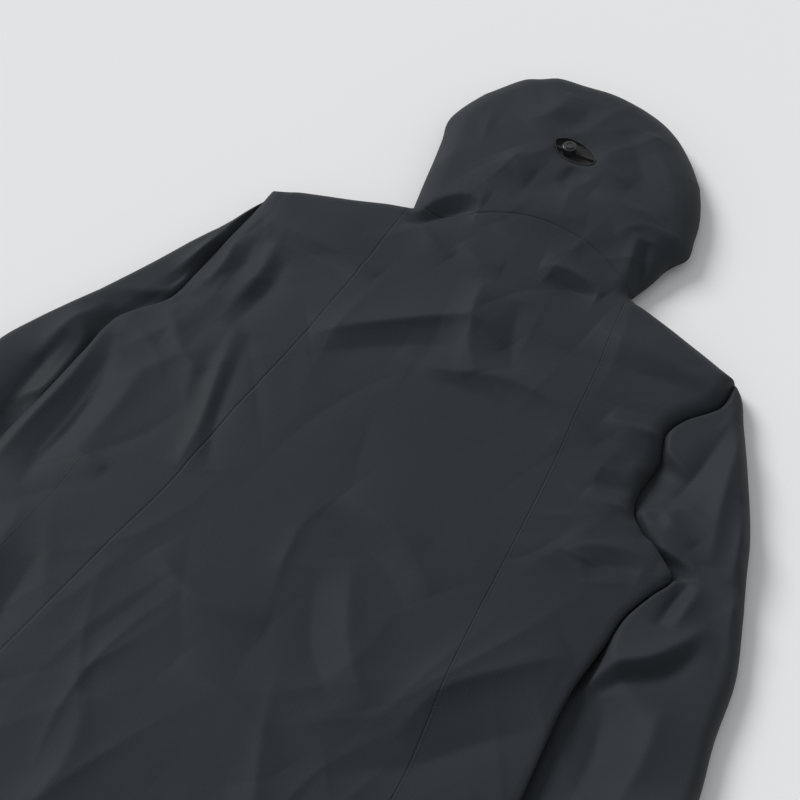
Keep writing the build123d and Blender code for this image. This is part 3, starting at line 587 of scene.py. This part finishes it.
def cut_size(plan, z, keep=None, allowance=SEAM_ALLOWANCE):
    """A panel's width and length with its seam allowances, and its area, all laid flat, in metres."""
    p = np.dstack([plan, z]) * MM
    a = np.linalg.norm(np.cross(p[1:, 1:] - p[:-1, :-1], p[:-1, 1:] - p[1:, :-1]), axis=2) / 2
    area = float(a.sum() if keep is None else a[keep].sum())
    spans = [np.ptp(plan[..., k]) for k in (0, 1)]
    w, l = (span + 2 * min(allowance, 0.12 * span) for span in spans)
    return float(w * MM), float(l * MM), min(area, float(w * l * MM * MM))


def panel(name, plan, z, material, flip=False, keep=None, inner=None):
    """One cloth panel from a grid of plan points and heights, with its thickness."""
    rows, columns = z.shape
    CUT[name] = cut_size(plan, z, keep)
    verts = np.dstack([plan, z]).reshape(-1, 3) * MM
    o = mesh_object(name, verts, grid_faces(rows, columns, flip, keep), material)
    return thicken(o, SHEET, inner)


def stitches(name, line, surface, material=None, pitch=3.0, length=2.1, width=0.55, rise=0.28):
    """A row of separate thread stitches along a plan line, on a surface."""
    p = np.array(line, float)
    a = np.r_[0, np.cumsum(np.linalg.norm(np.diff(p, axis=0), axis=1))]
    verts, faces = [], []
    for s in np.arange(pitch, a[-1] - pitch, pitch):
        ends = [np.array([np.interp(s + e, a, p[:, k]) for k in (0, 1)])
                for e in (-length / 2, length / 2)]
        d = ends[1] - ends[0]
        d /= np.linalg.norm(d)
        n = np.array([-d[1], d[0]])
        k = len(verts)
        for f, fat, up in ((0.0, 0.45, -0.1), (0.25, 1.0, 0.8), (0.75, 1.0, 0.8), (1.0, 0.45, -0.1)):
            q = ends[0] * (1 - f) + ends[1] * f
            z = surface(q[0], q[1])
            for side, top in ((-1, 0), (0, 1), (1, 0), (0, -1)):
                x, y = q + n * side * width / 2 * fat
                verts.append((x * MM, y * MM, (z + rise * up + top * rise * fat) * MM))
        for r in range(3):
            for c in range(4):
                e = k + 4 * r
                faces.append((e + c, e + (c + 1) % 4, e + 4 + (c + 1) % 4, e + 4 + c))
        faces += [(k + 3, k + 2, k + 1, k), (k + 12, k + 13, k + 14, k + 15)]
    return mesh_object(name, verts, faces, material or TAPE)


def ray_surface(objects):
    """A function that gives the height of the upper cloth at a plan point, in millimetres."""
    verts, faces = [], []
    for o in objects:
        k = len(verts)
        verts += [v.co.copy() for v in o.data.vertices]
        faces += [[k + i for i in p.vertices] for p in o.data.polygons]
    tree = BVHTree.FromPolygons(verts, faces)

    def height(x, y):
        hit = tree.ray_cast(Vector((x * MM, y * MM, 0.2)), Vector((0, 0, -1)))
        if hit[0] is None:
            near = tree.find_nearest(Vector((x * MM, y * MM, 0.02)))
            return near[0].z / MM
        return hit[0].z / MM

    return height


def eye_outline(count, grow=0.0):
    """The almond-shaped opening at the back of the hood, tilted a little."""
    t = np.linspace(0, 2 * np.pi, count, endpoint=False)
    a = (EYE_HALF + grow) * np.cos(t)
    up = np.sin(t)
    b = (EYE_HALF_HIGH + grow) * np.sign(up) * np.abs(up) ** 1.25 * np.where(up > 0, 1.0, 0.92)
    turn = math.radians(EYE_TILT)
    return np.stack([EYE_CENTRE[0] + a * math.cos(turn) - b * math.sin(turn),
                     EYE_CENTRE[1] + a * math.sin(turn) + b * math.cos(turn)], 1)


def inside(x, y, loop):
    """Which plan points lie within a closed loop."""
    hit = np.zeros(x.shape, bool)
    for (ax, ay), (bx, by) in zip(loop, np.roll(loop, -1, axis=0)):
        cross = ((ay > y) != (by > y)) & (x < (bx - ax) * (y - ay) / (by - ay + 1e-12) + ax)
        hit ^= cross
    return hit


def faces_outside(plan, loop):
    """Which faces of a grid have their middles outside a closed loop."""
    mid = (plan[:-1, :-1] + plan[1:, :-1] + plan[:-1, 1:] + plan[1:, 1:]) / 4
    return ~inside(mid[..., 0], mid[..., 1], loop)


def snap(plan, loop):
    """Moves the grid points nearest a loop on to it, so that a hole cut there has a clean edge."""
    keep = faces_outside(plan, loop)
    corner_gone = np.zeros(plan.shape[:2], bool)
    corner_kept = np.zeros(plan.shape[:2], bool)
    for dj in (0, 1):
        for di in (0, 1):
            corner_gone[dj:plan.shape[0] - 1 + dj, di:plan.shape[1] - 1 + di] |= ~keep
            corner_kept[dj:plan.shape[0] - 1 + dj, di:plan.shape[1] - 1 + di] |= keep
    dense = np.vstack([np.linspace(a, b, 12, endpoint=False)
                       for a, b in zip(loop, np.roll(loop, -1, axis=0))])
    for j, i in zip(*np.nonzero(corner_gone & corner_kept)):
        d = np.linalg.norm(dense - plan[j, i], axis=1)
        plan[j, i] = dense[d.argmin()]
    return keep


def line(a, b, n=2):
    """n points evenly spaced from a to b."""
    return [tuple(np.array(a) * (1 - t) + np.array(b) * t) for t in np.linspace(0, 1, n)]


# top sheets
HEM_L, HEM_R = LEFT_EDGE[0], RIGHT_EDGE[0]
ROWS = 380
tops = {
    "side_cloth_left": coons(LEFT_EDGE, LEFT_SEAM, line(HEM_L, LEFT_SEAM[0]), LEFT_SHOULDER, 64, ROWS, 0.35),
    "back_cloth": coons(LEFT_SEAM, RIGHT_SEAM, line(LEFT_SEAM[0], RIGHT_SEAM[0]), NECK, 170, ROWS),
    "side_cloth_right": coons(RIGHT_SEAM, RIGHT_EDGE, line(RIGHT_SEAM[0], HEM_R), RIGHT_SHOULDER, 64, ROWS,
                              0.35),
    "hood_cloth": coons(HOOD_LEFT, HOOD_RIGHT, NECK, HOOD_OVER, 160, 150, 0.3),
}
EYE = eye_outline(72)
hood_keep = snap(tops["hood_cloth"], EYE)
cloth = {}
for name, plan in tops.items():
    z = body_height(plan[..., 0], plan[..., 1])
    cloth[name] = panel(name, plan, z, SHELL, keep=hood_keep if name == "hood_cloth" else None, inner=LINING)

# sleeves and cuffs
for side, word in ((-1, "left"), (1, "right")):
    out, inn = (ARM_LEFT_OUT, ARM_LEFT_IN) if side < 0 else (ARM_RIGHT_OUT, ARM_RIGHT_IN)
    first, second = (out, inn) if side < 0 else (inn, out)
    plan = coons(first, second, line(first[0], second[0]), line(first[-1], second[-1]), 60, 270, 0.4)
    over = arm_height(plan[..., 0], plan[..., 1], side)
    under = arm_under(plan[..., 0], plan[..., 1], side)
    cut = int(np.abs(plan[:, 30, 1] - CUFF_TOP_Y).argmin())
    for part, rows in (("sleeve", slice(cut, None)), ("cuff", slice(0, cut + 1))):
        for kind, z, flip in (("cloth", over, False), ("under", under, True)):
            n = f"{part}_{kind}_{word}"
            cloth[n] = panel(n, plan[rows], z[rows], SHELL, flip, inner=LINING)

# floor side of the torso, collar and hood
ZIP_EDGE = 24.2  # how far from the middle the fronts stop, beside the main zip's tapes
ZIP_WIDTH = 19.6
zips = {}  # name: centre, turn in degrees
for j in frame["joints"]:
    if j["name"][:-4] in frame["nodes"]:
        lo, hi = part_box(j["name"][:-4])
        ax = j["axis"]
        zips[j["name"][:-8]] = ((lo + hi) / 2 / MM, math.degrees(math.atan2(ax[0], -ax[1])))


def zip_loop(name, half_width, half_length):
    """The corners of a rectangle round a zip's middle, turned with it."""
    centre, turn = zips[name]
    c, s = math.cos(math.radians(turn)), math.sin(math.radians(turn))
    corners = [(-half_width, -half_length), (half_width, -half_length), (half_width, half_length),
               (-half_width, half_length)]
    return np.array([(centre[0] + a * c - b * s, centre[1] + a * s + b * c) for a, b in corners])


def zip_half_length(name):
    """Half a zip's own length, from its box and its turn."""
    turn = zips[name][1]
    lo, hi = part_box(name + "_zip")
    span = (hi.y - lo.y) / MM
    t = abs(math.radians(turn))
    return (span - ZIP_WIDTH * math.sin(t)) / math.cos(t) / 2


for side, word in ((-1, "left"), (1, "right")):
    edge = LEFT_EDGE if side < 0 else RIGHT_EDGE
    shoulder = LEFT_SHOULDER if side < 0 else RIGHT_SHOULDER[::-1]
    neck_point = shoulder[-1]
    centre = side * ZIP_EDGE
    ordered = 1 if side < 0 else -1
    top = shoulder + line(neck_point, (centre, neck_point[1]), 5)[1:]
    inner = line((centre, HEM_Y), (centre, neck_point[1]))
    bottom = line(edge[0], (centre, HEM_Y))
    plan = coons(*(edge, inner)[::ordered], bottom[::ordered], top[::ordered], 96, ROWS, 0.2)
    keep = np.ones((ROWS - 1, 95), bool)
    for name in zips:
        if name.endswith(word):
            keep &= faces_outside(plan, zip_loop(name, 13.5, zip_half_length(name) + 3.5))
    z = under_height(plan[..., 0], plan[..., 1])
    cloth[f"front_cloth_{word}"] = panel(f"front_cloth_{word}", plan, z, SHELL, True, keep, LINING)
    rim = smooth(HOOD_LEFT if side < 0 else HOOD_RIGHT, 400)
    k = int(np.abs(rim[:, 1] - FOLD_Y).argmin())
    collar_rim = [tuple(rim[i]) for i in np.linspace(0, k, 8).astype(int)]
    a = line((centre, neck_point[1]), (centre, FOLD_Y))
    low = line(neck_point, (centre, neck_point[1]))
    high = line(collar_rim[-1], (centre, FOLD_Y))
    plan = coons(*(collar_rim, a)[::ordered], low[::ordered], high[::ordered], 40, 18)
    z = under_height(plan[..., 0], plan[..., 1])
    cloth[f"collar_cloth_{word}"] = panel(f"collar_cloth_{word}", plan, z, SHELL, True, None, LINING)

# the hood's floor side is a ring round the face opening
FACE = np.array([0, 386.0])
FACE_HALF = np.array([80.0, 68.0])
LOCK_HOLE = 9
hood_rim = np.vstack([smooth(HOOD_LEFT, 400), smooth(HOOD_OVER, 400), smooth(HOOD_RIGHT, 400)[::-1]])
hood_rim = hood_rim[hood_rim[:, 1] >= FOLD_Y]
chin = np.array(line(hood_rim[-1], hood_rim[0], 60))
ring = np.vstack([hood_rim, chin[1:-1]])
angle = np.arctan2(ring[:, 1] - FACE[1], ring[:, 0] - FACE[0])
for side, word in ((-1, "left"), (1, "right")):
    start, stop = (-math.pi / 2, math.pi / 2) if side > 0 else (math.pi / 2, 1.5 * math.pi)
    turn = np.linspace(start, stop, 110)
    o = np.argsort(angle)
    wrapped = (turn + math.pi) % (2 * math.pi) - math.pi
    outer = np.stack([np.interp(wrapped, angle[o], ring[o, k], period=2 * math.pi) for k in (0, 1)], 1)
    inner_e = FACE + FACE_HALF * np.stack([np.cos(turn), np.sin(turn)], 1)
    w = (np.linspace(0, 1, 26) ** 0.8)[:, None, None]
    plan = outer[None] * (1 - w) + inner_e[None] * w
    z = under_height(plan[..., 0], plan[..., 1])
    lo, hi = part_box(f"hood_chin_{word}_lock")
    lock = (lo + hi) / 2 / MM
    t = np.linspace(0, 2 * np.pi, 24, endpoint=False)
    lock_hole = np.stack([lock[0] + LOCK_HOLE * np.cos(t), lock[1] + LOCK_HOLE * np.sin(t)], 1)
    keep = faces_outside(plan, lock_hole)
    cloth[f"hood_under_{word}"] = panel(f"hood_under_{word}", plan, z, SHELL, True, keep, LINING)

TOP = ray_surface([cloth[n] for n in tops])


# ---------------------------------------------------------------- bindings, seams and small parts
def tube(name, route, wide, high, material, closed=False, sides=8):
    """A rounded binding or thread with an oval section along a 3-D route, in millimetres."""
    p = np.array(route, float)
    t = np.roll(p, -1, 0) - np.roll(p, 1, 0) if closed else np.gradient(p, axis=0)
    t /= np.linalg.norm(t, axis=1)[:, None]
    n = np.stack([-t[:, 1], t[:, 0], np.zeros(len(t))], 1)
    n /= np.linalg.norm(n, axis=1)[:, None]
    up = np.cross(t, n)
    turn = np.linspace(0, 2 * np.pi, sides, endpoint=False)
    v = (p[:, None] + n[:, None] * np.cos(turn)[None, :, None] * wide / 2
         + up[:, None] * np.sin(turn)[None, :, None] * high / 2)
    count = len(p)
    faces = []
    for a in range(count if closed else count - 1):
        b = (a + 1) % count
        for c in range(sides):
            d = (c + 1) % sides
            faces.append((a * sides + c, a * sides + d, b * sides + d, b * sides + c))
    if not closed:
        faces += [tuple(range(sides))[::-1], tuple((count - 1) * sides + c for c in range(sides))]
    return mesh_object(name, v.reshape(-1, 3) * MM, faces, material)


def on_surface(path, surface, lift, count):
    return [(x, y, surface(x, y) + lift) for x, y in smooth(path, count)]


def beside(path, gap, count=200):
    """The path moved sideways by gap."""
    p = smooth(path, count)
    t = np.gradient(p, axis=0)
    t /= np.linalg.norm(t, axis=1)[:, None]
    return p + gap * np.stack([-t[:, 1], t[:, 0]], 1)


def ring_mesh(name, loops, material, cap=False):
    """Joins equal-length 3-D loops one after another."""
    n = len(loops[0])
    v = np.vstack(loops)
    faces = []
    for a in range(len(loops) - 1):
        k = a * n
        faces += [(k + c, k + (c + 1) % n, k + n + (c + 1) % n, k + n + c) for c in range(n)]
    if cap:
        faces.append(tuple((len(loops) - 1) * n + c for c in range(n)))
    return mesh_object(name, v * MM, faces, material)


def flat_loop(loop, z):
    return np.column_stack([loop, np.full(len(loop), z)])


trim = {}  # name: object, body, material slot, replaced nodes
# name: path, thread, width, and the side of it that the stitches are on
SEAMS = {"back_seam_left": (LEFT_SEAM, TAPE, 0.8, 1), "back_seam_right": (RIGHT_SEAM, SHELL, 0.5, -1),
         "neck_seam": (NECK, SHELL, 0.6, 1)}
STITCH_GAP = 2.0
for name, (path, thread, wide, way) in SEAMS.items():
    seam = tube(name, on_surface(path, TOP, -0.18, 260), wide, 0.42, thread)
    trim[name] = seam, "torso", "shell_fabric", ()
    row = beside(path, STITCH_GAP * way)[8:-8]
    thread_row = stitches(f"{name}_thread", row, TOP, SHELL, width=0.4, rise=0.12)
    trim[f"{name}_thread"] = thread_row, "torso", "shell_fabric", ()
hem_row = line((-246, HEM_Y + 22), (246, HEM_Y + 22), 120)
trim["hem_thread"] = stitches("hem_thread", hem_row, TOP, SHELL), "torso", "shell_fabric", ()
FINE_SEAMS = {"side_dart_left": [(-218, -152), (-220, -205), (-223, -272)],
              "shoulder_dart_left": [(-225, 37), (-224, 24), (-223, 12)]}
for name, path in FINE_SEAMS.items():
    trim[name] = tube(name, on_surface(path, TOP, -0.1, 60), 0.9, 0.5, TAPE), "torso", "shell_fabric", ()


def eye_surface(x, y):
    """The hood's height just outside the adjuster's opening, for a point on its edge."""
    return TOP(EYE_CENTRE[0] + (x - EYE_CENTRE[0]) * 1.12, EYE_CENTRE[1] + (y - EYE_CENTRE[1]) * 1.2)


# the binding round the opening and the bowl inside it use the near-black recess cloth, which paints the shade of
# the hole
lip = eye_outline(96, 0.4)
lip_route = [(x, y, eye_surface(x, y) + 0.1) for x, y in lip]
trim["eye_binding"] = tube("eye_binding", lip_route, 1.0, 0.8, SHADED_RECESS_CLOTH, True), "hood", "recess_trim", ()
RECESS_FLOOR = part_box("hood_rear_lock")[0].z / MM - 0.15
bowl = [np.array(lip_route) - [0, 0, 0.6]]
BOWL_STEPS = (0.97, 0.45), (0.93, 0.85), (0.86, 1.0), (0.5, 1.0), (0.15, 1.0)  # share of the lip, depth
for share, deep in BOWL_STEPS:
    edge = EYE_CENTRE + (lip - EYE_CENTRE) * share
    z = bowl[0][:, 2] * (1 - deep) + RECESS_FLOOR * deep
    bowl.append(np.column_stack([edge, z]))
recess = ring_mesh("recess_cloth", bowl, SHADED_RECESS_CLOTH, True)
trim["recess_cloth"] = recess, "hood", "recess_trim", ("adjuster_recess",)

# half width, length past the zip, and height
WELT_STEPS = (18.0, 8.5, 0.4), (12.9, 2.9, 0.4), (12.6, 2.6, 1.1), (12.6, 2.6, 7.0)
for name in zips:
    long = zip_half_length(name)
    loops = [flat_loop(zip_loop(name, wide, long + more), z) for wide, more, z in WELT_STEPS]
    welt = ring_mesh(f"{name}_welt", loops, STIFF)
    trim[f"{name}_welt"] = thicken(welt, 0.35), "torso", "shell_fabric", ()


BAG_MOUTH_HALF = 7


def pouch(name, lo, hi, mouth):
    """A flat bag of two layers joined round its edge, open along the zip that it hangs behind."""
    n = 48
    t = np.linspace(-1, 1, n)
    u, v = np.meshgrid(t, t)
    x = (lo.x + hi.x) / 2 + (hi.x - lo.x) / 2 * u * np.sqrt(1 - 0.1 * v**2)
    y = (lo.y + hi.y) / 2 + (hi.y - lo.y) / 2 * v * np.sqrt(1 - 0.1 * u**2)
    full = np.sqrt(np.clip((1 - u**6) * (1 - v**6), 0, 1))
    middle, half = (lo.z + hi.z) / 2, (hi.z - lo.z) / 2 - 0.5
    plan = np.dstack([x, y])
    drift = wrinkles(x, y, 61, 24, (lo.x, hi.x, lo.y, hi.y), 70, 50, (14, 40), (5, 11), (0.2, 0.9))
    upper = middle + (half - 0.9) * full + drift * full * 0.5
    lower = middle - half * full
    keep = faces_outside(plan, mouth)
    verts = np.vstack([np.dstack([plan, z]).reshape(-1, 3) for z in (upper, lower)]) * MM
    faces = grid_faces(n, n) + [tuple(n * n + k for k in f) for f in grid_faces(n, n, True, keep)]
    o = mesh_object(name, verts, faces, MESH)
    m = bmesh.new()
    m.from_mesh(o.data)
    bmesh.ops.remove_doubles(m, verts=m.verts, dist=1e-5)
    m.to_mesh(o.data)
    m.free()
    return thicken(o, 0.4)


for word in ("left", "right"):
    lo, hi = (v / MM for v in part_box(f"pocket_bag_{word}"))
    zip_name = f"hand_pocket_{word}"
    mouth = zip_loop(zip_name, BAG_MOUTH_HALF, zip_half_length(zip_name) - 6)
    bag = pouch(f"bag_cloth_{word}", lo, hi, mouth)
    trim[f"bag_cloth_{word}"] = bag, "torso", "pocket_mesh", (f"pocket_bag_{word}",)
    wide, high = hi.x - lo.x, hi.y - lo.y
    CUT[f"bag_cloth_{word}"] = ((wide + 2 * SEAM_ALLOWANCE) * MM, (2 * high + 2 * SEAM_ALLOWANCE) * MM,
                                2 * wide * high * MM * MM)


def small_panel(name, node_name, material, columns, rows, wave):
    """A plain strip of cloth in the place of a CAD one, with a slight wave along it."""
    lo, hi = (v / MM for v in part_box(node_name))
    x, y = np.meshgrid(np.linspace(lo.x, hi.x, columns), np.linspace(lo.y, hi.y, rows))
    z = (lo.z + hi.z) / 2 + SHEET / 2 + wave * np.sin(y / 31) * np.sin((x - lo.x) / (hi.x - lo.x) * np.pi)
    return panel(name, np.dstack([x, y]), z, material)


flap = small_panel("flap_cloth", "storm_flap", SHELL, 14, 240, 0.25)
trim["flap_cloth"] = flap, "torso", "shell_fabric", ("storm_flap",)
garage = small_panel("garage_cloth", "zip_garage", SHELL, 14, 14, 0.1)
trim["garage_cloth"] = garage, "torso", "shell_fabric", ("zip_garage",)
BRIM_TOP_Z, BRIM_THICK = 3.7, 1.8
BRIM_ROWS, BRIM_COLUMNS = 10, 120
turn = np.radians(np.linspace(6, 174, BRIM_COLUMNS))
arc = np.stack([np.cos(turn), np.sin(turn)], 1)
brim_plan = np.stack([FACE + (FACE_HALF + grow * np.array([1.4, 1.0])) * arc
                      for grow in np.linspace(-2, 27, BRIM_ROWS)])
CUT["brim_cloth"] = cut_size(brim_plan, np.zeros(brim_plan.shape[:2]), allowance=0.0)
brim_verts = np.dstack([brim_plan, np.full(brim_plan.shape[:2], BRIM_TOP_Z)]).reshape(-1, 3) * MM
brim_faces = grid_faces(BRIM_ROWS, BRIM_COLUMNS, True)
brim = thicken(mesh_object("brim_cloth", brim_verts, brim_faces, STIFF), BRIM_THICK)
trim["brim_cloth"] = brim, "hood", "brim_board", ("hood_brim",)

# ---------------------------------------------------------------- camera, floor and light
AZ, EL = math.radians(28.9), math.radians(51.4)
cam = bpy.data.objects.new("camera", bpy.data.cameras.new("camera"))
cam.data.lens, cam.data.sensor_width = 90.0, 36.0
cam.location = (0.5298, -0.9429, 1.42)
look = Vector((-math.sin(AZ) * math.cos(EL), math.cos(AZ) * math.cos(EL), -math.sin(EL)))
cam.rotation_euler = look.to_track_quat("-Z", "Y").to_euler()
cam.data.clip_start = 0.05
bpy.context.scene.collection.objects.link(cam)
bpy.context.scene.camera = cam

floor_mat, _, bsdf = shader("floor")
bsdf.inputs["Base Color"].default_value = (0.74, 0.74, 0.745, 1)
bsdf.inputs["Roughness"].default_value = 0.85
corners = [(-6, -6, 0), (6, -6, 0), (6, 6, 0), (-6, 6, 0)]
floor = mesh_object("floor", corners, [(0, 1, 2, 3)], floor_mat, False)

world = bpy.data.worlds.new("world")
bpy.context.scene.world = world
world.use_nodes = True
sky = world.node_tree.nodes["Background"].inputs
sky["Color"].default_value = (0.97, 0.985, 1.0, 1)
sky["Strength"].default_value = 0.56
bpy.context.scene.view_settings.view_transform = "Standard"

sun = bpy.data.lights.new("window", "SUN")
sun.energy, sun.angle = 2.5, math.radians(24)
window = bpy.data.objects.new("window", sun)
window.rotation_euler = Vector((1.7, -0.5, -1.3)).to_track_quat("-Z", "Y").to_euler()
bpy.context.scene.collection.objects.link(window)

# ---------------------------------------------------------------- which body each piece belongs to
for word, side in (("left", -1), ("right", 1)):
    for n in ("side_cloth", "sleeve_cloth", "sleeve_under", "front_cloth", "cuff_cloth", "cuff_under"):
        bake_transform(cloth[f"{n}_{word}"])
    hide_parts(f"side_panel_{word}", f"shoulder_panel_{word}")
    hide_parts(f"front_panel_{word}")
    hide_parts(f"upper_sleeve_{word}")
    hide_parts(f"under_sleeve_{word}")
    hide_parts(f"cuff_{word}")
    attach(cloth[f"collar_cloth_{word}"], "torso")
    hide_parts(f"collar_front_{word}")
    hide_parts(f"hood_front_{word}")
for n in ("back_cloth", "hood_cloth"):
    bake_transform(cloth[n])
for n in ("hood_under_left", "hood_under_right"):
    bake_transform(cloth[n])
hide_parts("back_panel", "collar_back")
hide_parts("hood_back")

LOOKS = {"shell_fabric": SHELL, "tab_moulding": RUBBER, "pocket_mesh": MESH, "brim_board": STIFF,
         "zip_tape": TAPE, "zip_metal": PLATED, "spring_steel": STEEL, "shock_cord": CORD,
         "lock_moulding": MOULDED, "recess_trim": SHADED_RECESS_CLOTH}
COIL_COLOUR = (0.012, 0.012, 0.014)


def dress(node_name, material):
    """Gives a CAD object one material."""
    slots = frame["nodes"][node_name].data.materials
    slots.clear()
    slots.append(material)


for part in frame["record"]["subparts"]:
    dress(part["node"], LOOKS[part["material_slot"]])
for n, (centre, angle_of) in zips.items():
    dress(f"{n}_zip", toothed_material(f"{n} coil", COIL_COLOUR, centre, angle_of))
for word in ("left", "right"):
    dress(f"main_zip_tape_{word}", toothed_material(f"main coil {word}", COIL_COLOUR, (0, 0), 0))


def coil(name, lo, hi, wire=0.28, turns=3):
    """A round wire spring that fills the box from lo to hi, in millimetres."""
    t = np.linspace(0, 1, 24 * turns + 1)
    radius = (hi.x - lo.x) / 2 - wire
    turn = 2 * np.pi * turns * t
    z = lo.z + wire + (hi.z - lo.z - 2 * wire) * t
    x, y = (lo.x + hi.x) / 2 + radius * np.cos(turn), (lo.y + hi.y) / 2 + radius * np.sin(turn)
    route = np.column_stack([x, y, z])
    return tube(name, route, 2 * wire, 2 * wire, STEEL)


BODY_OF = {n: b for b, nodes in frame["record"]["behaviour"]["bodies"].items() for n in nodes}
for j in frame["record"]["behaviour"]["joints"]:
    if j["name"].endswith("_button_press"):
        lock = j["name"][:-len("_button_press")]
        lo, hi = (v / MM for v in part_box(f"{lock}_spring"))
        o = coil(f"{lock}_coil", lo, hi)
        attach(o, BODY_OF[f"{lock}_spring"])
        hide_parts(f"{lock}_spring")
        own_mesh(o)

for name, (o, body, slot, nodes) in trim.items():
    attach(o, body)
    if nodes:
        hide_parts(*nodes)
for name, o in {**cloth, **{n: v[0] for n, v in trim.items() if n in CUT}}.items():
    w, l, area = CUT[name]
